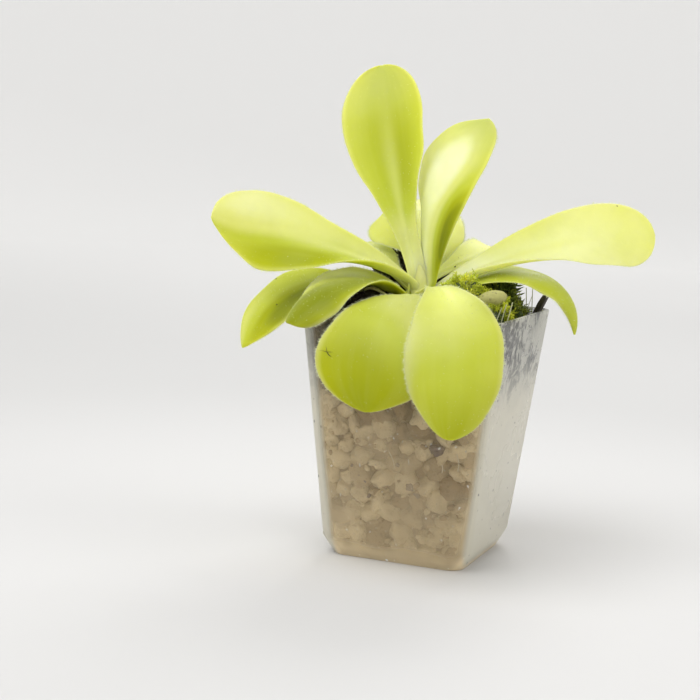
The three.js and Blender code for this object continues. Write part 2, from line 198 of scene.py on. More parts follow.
add_lamp("key_lamp", KEY_LAMP)
add_lamp("fill_lamp", FILL_LAMP)
add_lamp("back_lamp", BACK_LAMP)

world = bpy.data.worlds.new("soft_sky")
bpy.context.scene.world = world
world.use_nodes = True
sky = world.node_tree.nodes["Background"]
sky.inputs["Color"].default_value = SKY_WHITE
sky.inputs["Strength"].default_value = SKY_STRENGTH

bpy.context.scene.view_settings.view_transform = "Standard"


# %% [markdown]
# ## Wiring materials
# A material is a web of nodes, and each node that is wired by hand takes a few clicks. A small
# class does it in code, so that a finish reads as a list of steps.

# %% Helpers for wiring nodes
class Wires:
    """Adds nodes to one tree and joins them, with short calls."""

    def __init__(self, tree):
        self.tree = tree

    def add(self, kind, **settings):
        node = self.tree.nodes.new(kind)
        for setting, value in settings.items():
            setattr(node, setting, value)
        return node

    def join(self, source, target):
        self.tree.links.new(source, target)

    def feed(self, target, value):
        """Joins a socket to a target, or sets a plain number or colour on it."""
        if isinstance(value, bpy.types.NodeSocket):
            self.join(value, target)
        else:
            target.default_value = value

    def math(self, operation, first, second=0.0):
        node = self.add("ShaderNodeMath", operation=operation)
        self.feed(node.inputs[0], first)
        self.feed(node.inputs[1], second)
        return node.outputs[0]

    def ramp(self, value, low, high, to_low=0.0, to_high=1.0):
        """A smooth step from to_low to to_high while value goes from low to high."""
        node = self.add("ShaderNodeMapRange", interpolation_type="SMOOTHSTEP")
        self.feed(node.inputs["Value"], value)
        self.feed(node.inputs["From Min"], low)
        self.feed(node.inputs["From Max"], high)
        self.feed(node.inputs["To Min"], to_low)
        self.feed(node.inputs["To Max"], to_high)
        return node.outputs["Result"]

    def blend(self, share, first, second, kind="MIX"):
        node = self.add("ShaderNodeMix", data_type="RGBA", blend_type=kind)
        self.feed(node.inputs["Factor"], share)
        self.feed(node.inputs["A"], first)
        self.feed(node.inputs["B"], second)
        return node.outputs["Result"]

    def noise(self, vector, scale, detail=2.0, roughness=0.5, distortion=0.0):
        node = self.add("ShaderNodeTexNoise")
        self.feed(node.inputs["Vector"], vector)
        self.feed(node.inputs["Scale"], scale)
        node.inputs["Detail"].default_value = detail
        node.inputs["Roughness"].default_value = roughness
        node.inputs["Distortion"].default_value = distortion
        return node.outputs["Fac"]

    def place(self):
        return self.add("ShaderNodeTexCoord").outputs["Object"]

    def number(self, name):
        return self.add("ShaderNodeAttribute", attribute_name=name).outputs["Fac"]

    def group(self, tree, **inputs):
        node = self.add("ShaderNodeGroup", node_tree=tree)
        for name, value in inputs.items():
            self.feed(node.inputs[name], value)
        return node.outputs

    def bump(self, height, distance_mm, strength=1.0, under=None):
        node = self.add("ShaderNodeBump")
        self.feed(node.inputs["Height"], height)
        node.inputs["Distance"].default_value = distance_mm * MM
        node.inputs["Strength"].default_value = strength
        if under is not None:
            self.join(under, node.inputs["Normal"])
        return node.outputs["Normal"]


def new_group(name, inputs, outputs):
    """An empty node group with its sockets, and the wires and sockets to fill it with."""
    tree = bpy.data.node_groups.new(name, "ShaderNodeTree")
    for socket, kind in inputs.items():
        tree.interface.new_socket(socket, in_out="INPUT", socket_type=kind)
    for socket, kind in outputs.items():
        tree.interface.new_socket(socket, in_out="OUTPUT", socket_type=kind)
    wires = Wires(tree)
    entry = wires.add("NodeGroupInput")
    leave = wires.add("NodeGroupOutput")
    return tree, wires, entry.outputs, leave.inputs


def new_material(name):
    """A material with one Principled BSDF, and the wires to finish it with."""
    material = bpy.data.materials.new(name)
    material.use_nodes = True
    return material, Wires(material.node_tree), material.node_tree.nodes["Principled BSDF"]


# %% [markdown]
# ## The studio paper
# A plain grey sheet would be brightest under the back lamp and dull far from it. More lamps
# could even that out. Here the paper does it with painted shade and painted light: it is darker
# under that lamp, paler close round the pot, and glows a little where it rises, so that the
# background is one pale grey. Distances are in metres.

# %% The paper's greys, painted shade and painted light, and its glow
PAPER_PAINTED_LIGHT_BY_POT = (0.70, 0.695, 0.69, 1)
PAPER = (0.62, 0.617, 0.61, 1)
PAPER_UNDER_LAMP = (0.55, 0.547, 0.54, 1)
UNDER_BACK_LAMP = (0.0, 0.88, 0.0)
PAINTED_LIGHT_BY_POT_ENDS = (0.08, 0.3)
UNDER_LAMP_ENDS = (0.1, 0.5)
GLOW_RISES = (0.35, 1.5)
WALL_GLOW = 0.36

paper, wires, skin = new_material("studio_paper")
skin.inputs["Roughness"].default_value = 0.9
skin.inputs["Specular IOR Level"].default_value = 0.1
distance = wires.add("ShaderNodeVectorMath", operation="LENGTH")
wires.join(wires.place(), distance.inputs[0])
away = distance.outputs["Value"]
grey = wires.blend(wires.ramp(away, *PAINTED_LIGHT_BY_POT_ENDS), PAPER_PAINTED_LIGHT_BY_POT, PAPER)
from_lamp = wires.add("ShaderNodeVectorMath", operation="DISTANCE")
wires.join(wires.place(), from_lamp.inputs[0])
from_lamp.inputs[1].default_value = UNDER_BACK_LAMP
under_lamp = wires.ramp(from_lamp.outputs["Value"], *UNDER_LAMP_ENDS, 1.0, 0.0)
wires.join(wires.blend(under_lamp, grey, PAPER_UNDER_LAMP), skin.inputs["Base Color"])
wires.join(wires.ramp(away, *GLOW_RISES, 0.0, WALL_GLOW), skin.inputs["Emission Strength"])
skin.inputs["Emission Color"].default_value = SKY_WHITE
floor.data.materials.append(paper)
print("paper glows by up to", WALL_GLOW)


# %% [markdown]
# ## Effects that several finishes share
# Plants and soil are never one flat colour. Two small node groups are built once: one gives
# soft blotches, the other a fine grain with pits, for bumps. Each finish sets its own scale.

# %% The shared groups: soft blotches and fine grain
PITS_PER_GRAIN = 0.6

blotches, wires, entry, leave = new_group(
    "soft_blotches",
    {"Vector": "NodeSocketVector", "Per Metre": "NodeSocketFloat"},
    {"Blotches": "NodeSocketFloat"},
)
wide = wires.noise(entry["Vector"], entry["Per Metre"], detail=3.0)
wires.join(wires.ramp(wide, 0.3, 0.7), leave["Blotches"])

grain, wires, entry, leave = new_group(
    "fine_grain",
    {"Vector": "NodeSocketVector", "Per Metre": "NodeSocketFloat"},
    {"Grain": "NodeSocketFloat", "Pits": "NodeSocketFloat"},
)
fine = wires.noise(entry["Vector"], entry["Per Metre"], detail=4.0, roughness=0.65)
cells = wires.add("ShaderNodeTexVoronoi")
wires.join(entry["Vector"], cells.inputs["Vector"])
wires.join(wires.math("MULTIPLY", entry["Per Metre"], PITS_PER_GRAIN), cells.inputs["Scale"])
wires.join(fine, leave["Grain"])
wires.join(wires.ramp(cells.outputs["Distance"], 0.0, 0.45), leave["Pits"])


def blotches_in(wires, place, per_metre):
    return wires.group(blotches, Vector=place, **{"Per Metre": per_metre})["Blotches"]


def grain_in(wires, place, per_metre):
    return wires.group(grain, Vector=place, **{"Per Metre": per_metre})


print("groups:", [g.name for g in bpy.data.node_groups])


# %% [markdown]
# ## The leaf's finish
# A butterwort's leaf is thin, juicy and covered in tiny glands, so light goes into it and the
# surface has a soft wet shine. The colour follows the leaf: a pale stalk, a paler midrib, a
# pale thin edge and faint streaks. The leaf's own UV map says how far along and across a point
# is, so the pattern follows every bend. Painted by hand, patches of shade would be weight
# paint. Here each point carries three numbers: its own tone together with painted shade and
# painted light, from lit through to deep shade; how much it is greyed, on the tips as a painted
# sheen, or brightened as painted light; and how much of the midrib shows. The glow is subsurface
# scattering, and on the leaves at the back it is also painted light.

# %% Node group: the zones of a leaf
RIB_ENDS = 0.3
RIB_FADES = (0.45, 0.95)
EDGE_BEGINS = 0.86
STREAKS_ACROSS_AND_ALONG = (11, 1.6, 1)

leaf_zones, wires, entry, leave = new_group(
    "leaf_zones",
    {"UV": "NodeSocketVector"},
    {"Midrib": "NodeSocketFloat", "Edge": "NodeSocketFloat", "Streaks": "NodeSocketFloat"},
)
split = wires.add("ShaderNodeSeparateXYZ")
wires.join(entry["UV"], split.inputs[0])
offside = wires.math("ABSOLUTE", wires.math("SUBTRACT", split.outputs["X"], 0.5))
across = wires.math("MULTIPLY", offside, 2.0)
rib = wires.ramp(across, 0.0, RIB_ENDS, 1.0, 0.0)
fading = wires.ramp(split.outputs["Y"], *RIB_FADES, 1.0, 0.0)
wires.join(wires.math("MULTIPLY", rib, fading), leave["Midrib"])
wires.join(wires.ramp(across, EDGE_BEGINS, 1.0), leave["Edge"])
stretch = wires.add("ShaderNodeMapping")
stretch.inputs["Scale"].default_value = STREAKS_ACROSS_AND_ALONG
wires.join(entry["UV"], stretch.inputs["Vector"])
wires.join(wires.noise(stretch.outputs["Vector"], 1.0, detail=3.0), leave["Streaks"])

# %% The leaf's material
# SHADED is painted shade and LIT_THROUGH is painted light shining through a leaf; DEEP and PALE give both
# the leaf's own tones and painted shade and light.
BLADE = (0.50, 0.56, 0.055, 1)
DEEP = (0.36, 0.40, 0.0, 1)
PALE = (0.72, 0.75, 0.28, 1)
SHADED = (0.22, 0.26, 0.0, 1)
LIT_THROUGH = (0.93, 0.97, 0.62, 1)
GREYED = (0.47, 0.52, 0.15, 1)
PAINTED_GLOW = (0.90, 0.98, 0.20, 1)

leaf_flesh, wires, skin = new_material("leaf_flesh")
uv = wires.add("ShaderNodeUVMap", uv_map="UVMap").outputs["UV"]
place = wires.place()
zones = wires.group(leaf_zones, UV=uv)
patches = blotches_in(wires, place, 90.0)
fine = grain_in(wires, place, 900.0)
tone_and_painted_light = wires.number("tone_and_painted_light")
# Painted shade darkens towards DEEP and SHADED above 0, and painted light pales towards PALE and
# LIT_THROUGH below 0; the pale stalk is the leaf's own.
colour = wires.blend(wires.ramp(tone_and_painted_light, 0.0, 1.0), BLADE, DEEP)
colour = wires.blend(wires.ramp(tone_and_painted_light, 1.0, 2.0), colour, SHADED)
colour = wires.blend(wires.ramp(tone_and_painted_light, 0.0, -1.0), colour, PALE)
colour = wires.blend(wires.ramp(tone_and_painted_light, -1.0, -2.0), colour, LIT_THROUGH)
# Greyer above 0, on the tips as a painted sheen; brighter below 0, as a painted glow.
greying_and_painted_glow = wires.number("greying_and_painted_glow")
colour = wires.blend(wires.ramp(greying_and_painted_glow, 0.0, 1.0), colour, GREYED)
colour = wires.blend(wires.ramp(greying_and_painted_glow, 0.0, -1.0), colour, PAINTED_GLOW)
colour = wires.blend(wires.math("MULTIPLY", patches, 0.18), colour, DEEP)
colour = wires.blend(wires.ramp(zones["Streaks"], 0.35, 0.75, 0.0, 0.06), colour, PALE)
rib = wires.math("MULTIPLY", zones["Midrib"], wires.number("rib"))
colour = wires.blend(rib, colour, PALE)
colour = wires.blend(wires.math("MULTIPLY", zones["Edge"], 0.45), colour, PALE)
wires.join(colour, skin.inputs["Base Color"])
wires.join(wires.ramp(fine["Grain"], 0.3, 0.7, 0.42, 0.56), skin.inputs["Roughness"])
wires.join(wires.bump(fine["Grain"], 0.06, 0.5), skin.inputs["Normal"])
skin.subsurface_method = "RANDOM_WALK"
skin.inputs["Subsurface Weight"].default_value = 0.85
skin.inputs["Subsurface Radius"].default_value = (1.0, 0.95, 0.25)
skin.inputs["Subsurface Scale"].default_value = 2.4 * MM
skin.inputs["Specular IOR Level"].default_value = 0.18
skin.inputs["Coat Weight"].default_value = 0.06
skin.inputs["Coat Roughness"].default_value = 0.4
skin.inputs["Sheen Weight"].default_value = 0.02
skin.inputs["Sheen Roughness"].default_value = 0.35
print("leaf material ready")

# %% [markdown]
# ## The leaves
# Each leaf is one sheet: narrow at the stalk, broad near the tip, bent along its length, turned
# about its midrib and cupped or curled across. It could be pulled into shape by hand, but
# fourteen leaves that pass close by each other need numbers. So a flat grid is added, and its
# points are laid along a curve that says how the leaf rises, turns and cups. Solidify then
# gives it flesh, thick along the midrib and thin at the edge, and a subdivision rounds it.

# %% The leaves' measures, in millimetres and degrees
# base is where the stalk starts; bearing its compass heading and swing how far that turns;
# rise the slope at the base and the tip, and ease how late it changes; petiole the stalk's
# width as a share of the blade's; widest where the blade is broadest; shoulder and tip shape
# the outline; roll turns it about the midrib and cup curls it across, at the base and the tip.
# lobes makes one side wider or narrower: which side, at what share, and by how much.
LEAVES = {
    "leaf_front_left": dict(
        base=(-1.8, -6.8, 68.3), bearing=272, swing=-2, rise=(31, -94), ease=0.9,
        length=52, half_width=14.9, petiole=0.1, widest=0.73, shoulder=1.9, tip=0.68,
        roll=(9, -11), cup=(19, -11), lobes=[(1, 0.8, 3.2), (-1, 0.88, 0.6)]),
    "leaf_front_right": dict(
        base=(0.5, -6.1, 71.2), bearing=307, swing=-22, rise=(20, -97), ease=1.1,
        length=65, half_width=12.8, petiole=0.15, widest=0.73, shoulder=2.2, tip=0.52,
        roll=(4, 1), cup=(53, -76), lobes=[(1, 0.5, 2.0), (1, 0.93, 1.2), (-1, 0.97, 0.8)]),
    "leaf_left": dict(
        base=(-5.5, -4, 74.4), bearing=200, swing=-2, rise=(23, 9), ease=0.8,
        length=56, half_width=10.1, petiole=0.21, widest=0.74, shoulder=0.9, tip=0.43,
        roll=(3, -116), cup=(96, -57), lobes=[(1, 0.72, 1.3), (1, 0.38, 0.9), (-1, 0.42, -1.1)]),
    "leaf_left_inner": dict(
        base=(-5.5, -5, 69.5), bearing=229, swing=-5, rise=(28, -62), ease=1.3,
        length=39, half_width=11.2, petiole=0.16, widest=0.59, shoulder=1.6, tip=0.31,
        roll=(-9, -2), cup=(82, -68),
        lobes=[(1, 0.66, 1.4), (1, 0.12, 0.6), (1, 0.84, 0.9), (-1, 0.1, 1.5), (-1, 0.34, 1.1)]),
    "leaf_left_outer": dict(
        base=(-6.2, -0.7, 69.8), bearing=194, swing=-1, rise=(14, -86), ease=1.8,
        length=56, half_width=10, petiole=0.19, widest=0.63, shoulder=2.2, tip=0.74,
        roll=(12, -63), cup=(29, -36), lobes=[(-1, 0.84, -2.2)]),
    "leaf_right": dict(
        base=(1.9, -0.5, 72.3), bearing=19, swing=12, rise=(27, -3), ease=1.7,
        length=62, half_width=10.4, petiole=0.17, widest=0.73, shoulder=1, tip=0.44,
        roll=(14, 67), cup=(92, 5),
        lobes=[(1, 0.24, -0.9), (1, 0.46, -1.0), (1, 0.68, -0.4), (-1, 0.86, 0.9)]),
    "leaf_right_arched": dict(
        base=(2.6, -1.5, 69), bearing=19, swing=3, rise=(33, -106), ease=2,
        length=50, half_width=8.2, petiole=0.19, widest=0.6, shoulder=1.8, tip=0.79,
        roll=(12, 15), cup=(29, -63)),
    "leaf_tall": dict(
        base=(-4.1, -2.6, 77), bearing=154, swing=-6, rise=(65, 79), ease=1,
        length=58, half_width=12.8, petiole=0.19, widest=0.74, shoulder=2.4, tip=0.52,
        roll=(-44, -70), cup=(68, 18), lobes=[(-1, 0.05, 1.6), (-1, 0.97, 0.7), (1, 0.97, 0.7)]),
    "leaf_upright_right": dict(
        base=(-0.1, -2.6, 74.8), bearing=222, swing=14, rise=(86, 152), ease=1.6,
        length=50, half_width=9.5, petiole=0.27, widest=0.68, shoulder=1.1, tip=0.66,
        roll=(22, 27), cup=(84, 4),
        lobes=[(-1, 0.62, 2.6), (-1, 0.95, -0.8), (-1, 0.1, 1.7), (1, 0.97, 1.1)]),
    "leaf_back_high": dict(
        base=(-3.4, 1.3, 73.9), bearing=95, swing=17, rise=(42, 22), ease=1,
        length=41, half_width=9.2, petiole=0.21, widest=0.57, shoulder=1.3, tip=0.63,
        roll=(61, 5), cup=(38, 4)),
    "leaf_back_right": dict(
        base=(0, 1.6, 75.3), bearing=58, swing=6, rise=(23, -21), ease=1.6,
        length=41, half_width=9.6, petiole=0.17, widest=0.65, shoulder=2.3, tip=0.33,
        roll=(35, -8), cup=(47, -1)),
    "leaf_back_left_high": dict(
        base=(-4.4, 0.1, 78.7), bearing=134, swing=-2, rise=(48, -1), ease=1.3,
        length=29, half_width=9.1, petiole=0.18, widest=0.7, shoulder=2.3, tip=0.48,
        roll=(-80, -48), cup=(31, 20)),
    "leaf_back_left_low": dict(
        base=(-6.6, -1.5, 72.4), bearing=154, swing=-6, rise=(31, -20), ease=1.5,
        length=39, half_width=9.9, petiole=0.15, widest=0.57, shoulder=2.3, tip=0.48,
        roll=(-4, -9), cup=(72, -28)),
    "young_leaf": dict(
        base=(0.8, -0.5, 76), bearing=42, swing=0, rise=(86, 72), ease=1,
        length=8.5, half_width=1.4, petiole=0.55, widest=0.6, shoulder=1, tip=0.6,
        roll=(0, 0), cup=(70, 50)),
}
SPINE_STEPS = 60
TIP_HALF_WIDTH = 0.25
print(len(LEAVES), "leaves")


# %% The curve that a leaf follows
NO_LENGTH = 1e-9


def unit(rows):
    """Each row as a direction of length 1. A row of zeros stays as it is."""
    return rows / np.maximum(np.linalg.norm(rows, axis=-1, keepdims=True), NO_LENGTH)


def heading(leaf, share):
    """The leaf's direction, its left and its upper side at each share of its length."""
    bearing = np.radians(leaf["bearing"] + leaf["swing"] * share)
    rise = np.radians(leaf["rise"][0] + (leaf["rise"][1] - leaf["rise"][0]) * share ** leaf["ease"])
    flat = np.zeros_like(share)
    along = np.stack([np.cos(rise) * np.cos(bearing), np.cos(rise) * np.sin(bearing), np.sin(rise)], 1)
    left = np.stack([-np.sin(bearing), np.cos(bearing), flat], 1)
    return along, left, np.cross(along, left)


def midrib(leaf, share):
    """Points on the midrib, from a walk of equal steps."""
    middles = (np.arange(SPINE_STEPS) + 0.5) / SPINE_STEPS
    steps = heading(leaf, middles)[0] * leaf["length"] / SPINE_STEPS
    walk = np.vstack([np.zeros(3), np.cumsum(steps, 0)]) + leaf["base"]
    knots = np.arange(SPINE_STEPS + 1) / SPINE_STEPS
    return np.stack([np.interp(share, knots, walk[:, axis]) for axis in range(3)], 1)


def half_width(leaf, share):
    swell = np.sin(np.pi / 2 * np.clip(share / leaf["widest"], 0, 1)) ** leaf["shoulder"]
    lower = leaf["petiole"] + (1 - leaf["petiole"]) * swell
    beyond = np.clip((share - leaf["widest"]) / (1 - leaf["widest"]), 0, 1)
    upper = np.maximum(TIP_HALF_WIDTH / leaf["half_width"], (1 - beyond**2) ** leaf["tip"])
    return leaf["half_width"] * np.where(share < leaf["widest"], lower, upper)


# %% The bend that joins a stalk to the stem
CROWN_MIDDLE = np.array((-2.0, -2.0, 69.6))
STEM_REACH = 1.2
# How far the bend leads out, up and back along the stalk, and how much longer than a straight
# line it is.
FOOT_OUT, FOOT_UP, FOOT_BACK = 0.15, 0.35, 0.4
FOOT_SLACK = 1.08


def stalk_foot(leaf):
    """The bend that takes a stalk from the crown to the leaf's base, as four handles."""
    along = heading(leaf, np.zeros(1))[0][0]
    base = np.array(leaf["base"], float)
    outward = unit(np.array((along[0], along[1], 0.0)))
    start = CROWN_MIDDLE + outward * STEM_REACH
    reach = np.linalg.norm(base - start)
    rising = start + (outward * FOOT_OUT + np.array((0, 0, FOOT_UP))) * reach
    return start, rising, base - along * reach * FOOT_BACK, base


def foot_share(leaf):
    """How long that bend is, as a share of the leaf's length."""
    start, _, _, base = stalk_foot(leaf)
    return FOOT_SLACK * np.linalg.norm(base - start) / leaf["length"]


def frame_at(leaf, share):
    """Where the midrib is, and its side and face directions. Below 0 the share runs down the foot."""
    blade = np.maximum(share, 0)
    along, left, upper = heading(leaf, blade)
    roll = np.radians(leaf["roll"][0] + (leaf["roll"][1] - leaf["roll"][0]) * blade)[:, None]
    side = left * np.cos(roll) + upper * np.sin(roll)
    middle = midrib(leaf, blade)
    p0, p1, p2, p3 = stalk_foot(leaf)
    t = np.clip(1 + share / foot_share(leaf), 0, 1)[:, None]
    bend = (1 - t) ** 3 * p0 + 3 * (1 - t) ** 2 * t * p1 + 3 * (1 - t) * t**2 * p2 + t**3 * p3
    slope = (1 - t) ** 2 * (p1 - p0) + 2 * (1 - t) * t * (p2 - p1) + t**2 * (p3 - p2)
    below = (share < 0)[:, None]
    middle = np.where(below, bend, middle)
    along = np.where(below, unit(slope), along)
    side = unit(side - along * (side * along).sum(axis=1, keepdims=True))
    return middle, side, np.cross(along, side)


# %% The sheet that a leaf follows
BASE_SWELL = 0.5
LOBE_REACH = 0.16
LEAST_CUP = 0.001


def sheet(leaf, share, across):
    """The leaf's middle sheet and its upper normals, at shares along it and from -1 to 1 across."""
    middle, side, face = frame_at(leaf, share)
    cup = np.radians(leaf["cup"][0] + (leaf["cup"][1] - leaf["cup"][0]) * np.maximum(share, 0))
    cup = np.where(abs(cup) < LEAST_CUP, LEAST_CUP, cup)
    curl = cup * across
    width = half_width(leaf, np.maximum(share, 0))
    width = width * (1 + BASE_SWELL * np.clip(-share / foot_share(leaf), 0, 1))
    for side_sign, middle_share, extra in leaf.get("lobes", []):
        swell = np.exp(-(((share - middle_share) / LOBE_REACH) ** 2)) * np.clip(across * side_sign, 0, 1)
        width = np.maximum(width + extra * swell, TIP_HALF_WIDTH)
    sideways = (width * np.sin(curl) / cup)[:, None]
    upwards = (width * (1 - np.cos(curl)) / cup)[:, None]
    points = middle + side * sideways + face * upwards
    normals = face * np.cos(curl)[:, None] - side * np.sin(curl)[:, None]
    return points, normals


# %% Painted shade and painted light on each leaf
# Painted shade above 0 and painted light below 0, with some of the leaf's own deeper and paler
# tone; the light below 0 also gives highlights and the glow of the back leaves. Each patch has
# its share along the leaf, its place across, how far it reaches each way, and how strong it is.
PAINTED_LIGHT_PATCHES = {
    "leaf_front_left": [
        (1.05, 0, 0.5, 2, 1.5), (0.4, -0.2, 0.16, 0.7, -0.6), (0.62, 0.7, 0.35, 0.6, -1.0)],
    "leaf_front_right": [
        (1.05, 0, 0.34, 2, 0.8), (0.36, 0, 0.24, 1, -0.4), (0.75, -1, 0.3, 0.3, -0.8),
        (0.62, -0.1, 0.25, 0.9, -0.4)],
    "leaf_left": [
        (0.6, 0.7, 0.34, 0.5, 1.6), (0.6, -0.6, 0.4, 0.7, -1.0), (0.9, -0.3, 0.3, 1.5, -0.9)],
    "leaf_left_inner": [
        (0.4, 0.3, 0.5, 0.7, 2.1), (0.9, 0.1, 0.3, 1.0, 1.5)],
    "leaf_left_outer": [
        (0.45, 0, 0.45, 2, 0.5), (0.55, 0.7, 0.4, 0.5, 2.1), (1, 0, 0.2, 2, -0.3),
        (0.75, -0.3, 0.3, 0.6, -0.6)],
    "leaf_right": [(0.6, 0, 0.8, 3, -1.4), (1, 0, 0.16, 2, 0.3)],
    "leaf_right_arched": [(0.5, 0, 0.9, 3, 0.4)],
    "leaf_tall": [
        (0.42, -0.42, 0.3, 0.35, 0.4), (0.7, 0.1, 0.35, 0.9, 0.5), (0.08, -0.2, 0.22, 1.2, -0.7)],
    "leaf_upright_right": [
        (0.25, 0.85, 0.24, 0.42, 3.6), (0.57, -0.1, 0.27, 0.7, -2.1), (0.6, -0.95, 0.3, 0.3, -1.2),
        (0.15, -0.4, 0.3, 0.6, -1.0), (0.76, 0.2, 0.18, 0.5, -0.8)],
    "leaf_back_high": [(0.5, 0, 0.9, 3, -1.2)],
    "leaf_back_right": [(0.5, 0, 0.9, 3, -1.5)],
    "leaf_back_left_high": [(0.5, 0, 0.9, 3, -1.0)],
    "leaf_back_left_low": [(0.5, 0, 0.9, 3, -0.5)],
}
# Where a leaf is greyer (above 0), on the tips as a painted sheen, or brighter (below 0), as painted light
# that makes the back leaves glow, than the patches above make it.
GREYING_AND_PAINTED_GLOW_PATCHES = {
    "leaf_back_left_high": [(0.5, 0, 0.9, 3, -0.9)],
    "leaf_back_right": [(0.5, 0, 0.9, 3, -0.8)],
    "leaf_back_high": [(0.5, 0, 0.9, 3, -0.4)],
    "leaf_left_inner": [(0.45, -0.95, 0.5, 0.5, -0.8)],
    "leaf_front_right": [(0.3, 0, 0.25, 1, -0.6)],
    "leaf_right_arched": [(0.5, 0.9, 0.5, 0.6, -0.6)],
    "leaf_tall": [(1.02, 0, 0.24, 2, 1.1), (0.6, 0.9, 0.4, 0.4, 0.4)],
    "leaf_upright_right": [
        (1.02, 0, 0.22, 2, 0.9), (0.7, 0.8, 0.25, 0.4, 0.4), (0.25, -0.5, 0.35, 0.5, 0.6)],
}
# How pale a stalk is, and how much of a midrib shows, on most leaves and on those that differ.
USUAL_STALK, USUAL_RIB = 0.85, 0.1
STALK_PALENESS = {
    "leaf_right": 1.3, "leaf_left_inner": -0.4, "leaf_left_outer": 0.0, "leaf_back_left_low": 0.2,
}
RIB_PALENESS = {"leaf_tall": 0.45, "leaf_left": 0.6, "leaf_right": 0.75}
STALK_FADES = (0.02, 0.42)


def smooth_step(value, low, high):
    share = np.clip((value - low) / (high - low), 0, 1)
    return share * share * (3 - 2 * share)


def sum_of_patches(patches, share, across):
    total = np.zeros(len(share))
    for at_share, at_across, reach_along, reach_across, strength in patches:
        far = ((share - at_share) / reach_along) ** 2 + ((across - at_across) / reach_across) ** 2
        total += strength * np.exp(-far)
    return total


def tone_and_painted_light_of(name, share, across):
    stalk = STALK_PALENESS.get(name, USUAL_STALK) * (1 - smooth_step(share, *STALK_FADES))
    return sum_of_patches(PAINTED_LIGHT_PATCHES.get(name, []), share, across) - stalk


print(sum(len(patches) for patches in PAINTED_LIGHT_PATCHES.values()), "patches of tint")


# %% How thick a leaf is, and how its edge waves
FLESH_MM = 1.5
# As shares of FLESH_MM: what is lost by the middle and by the tip, the blade, the rib on it and
# the rib's half width, the edge and what the middle has more than it, and the least flesh.
LOST_BY_MIDDLE, LOST_BY_TIP = 0.35, 0.2
BLADE_FLESH, RIB_FLESH, RIB_HALF_WIDTH = 0.8, 0.35, 0.16
EDGE_FLESH, MORE_IN_MIDDLE, LEAST_FLESH = 0.32, 0.68, 0.05
WAVE_MM = 0.28
LONG_WAVES, SHORT_WAVES = 19, 31


def flesh(share, across):
    """How thick the leaf is, as a share of FLESH_MM: full at the stalk, thin at tip and edge."""
    by_middle = LOST_BY_MIDDLE * smooth_step(share, 0.1, 0.5)
    by_tip = LOST_BY_TIP * smooth_step(share, 0.5, 1)
    rib = RIB_FLESH * np.exp(-((across / RIB_HALF_WIDTH) ** 2)) * (1 - smooth_step(share, 0.3, 0.9))
    side = EDGE_FLESH + MORE_IN_MIDDLE * (1 - across**2)
    return np.clip(((1 - by_middle - by_tip) * (BLADE_FLESH + rib)) * side, LEAST_FLESH, 1)


def wavy_edge(share, across, seed):
    """How far the edge leaves the smooth sheet, in millimetres: leaf edges are never true."""
    wave = np.sin(share * LONG_WAVES + seed) + 0.6 * np.sin(share * SHORT_WAVES + 2 * seed + across)
    return WAVE_MM * wave * abs(across) ** 3 * smooth_step(share, 0.25, 0.5)


# %% Make the leaves
LEAF_ROWS, LEAF_COLUMNS = 56, 16


def make_leaf(name, leaf, seed, material):
    clear_selection()
    bpy.ops.mesh.primitive_grid_add(x_subdivisions=LEAF_COLUMNS, y_subdivisions=LEAF_ROWS, size=2 * MM)
    piece = bpy.context.object
    flat = points_of(piece)
    across = -flat[:, 0]
    row = (flat[:, 1] + 1) / 2
    share = np.where(row > 0.5, 0.5 + 0.5 * np.sin(np.pi * (row - 0.5)), row)
    share = share * (1 + foot_share(leaf)) - foot_share(leaf)
    points, normals = sheet(leaf, share, across)
    points = points + normals * wavy_edge(share, across, seed)[:, None]
    put_points(piece, points)
    loops = np.zeros(len(piece.data.loops), dtype=int)
    piece.data.loops.foreach_get("vertex_index", loops)
    uv = np.stack([(across[loops] + 1) / 2, share[loops]], 1)
    piece.data.uv_layers[0].data.foreach_set("uv", uv.ravel())
    number_points(piece, "tone_and_painted_light", tone_and_painted_light_of(name, share, across))
    greying_and_glow_sum = sum_of_patches(GREYING_AND_PAINTED_GLOW_PATCHES.get(name, []), share, across)
    number_points(piece, "greying_and_painted_glow", np.clip(greying_and_glow_sum, -1, 1))
    number_points(piece, "rib", np.full(len(share), RIB_PALENESS.get(name, USUAL_RIB)))
    group = piece.vertex_groups.new(name="flesh")
    for index, weight in enumerate(flesh(share, across)):
        group.add([index], float(weight), "REPLACE")
    apply_modifier(
        piece, "SOLIDIFY", thickness=FLESH_MM * MM, offset=0.0, vertex_group="flesh", use_rim=True
    )
    apply_modifier(piece, "SUBSURF", levels=1, render_levels=1)
    select_only(piece)
    bpy.ops.object.shade_smooth()
    piece.vertex_groups.clear()
    finish_piece(piece, name + "_blade", material, "leaf", name)


for seed, (name, leaf) in enumerate(LEAVES.items()):
    make_leaf(name, leaf, seed, leaf_flesh)


# %% [markdown]
# ## Tubes and heaps
# Moss, crumbs, grit and hairs are hundreds of copies of a few small shapes. Each copy could be
# an object of its own, but one mesh for all of them is far quicker to draw and to export. So a
# heap gathers the copies, with a tone for each, and makes one piece of them at the end.

# %% A pointed tube along a path
LOOKS_ACROSS = np.array((0.37, 0.61, 0.71))


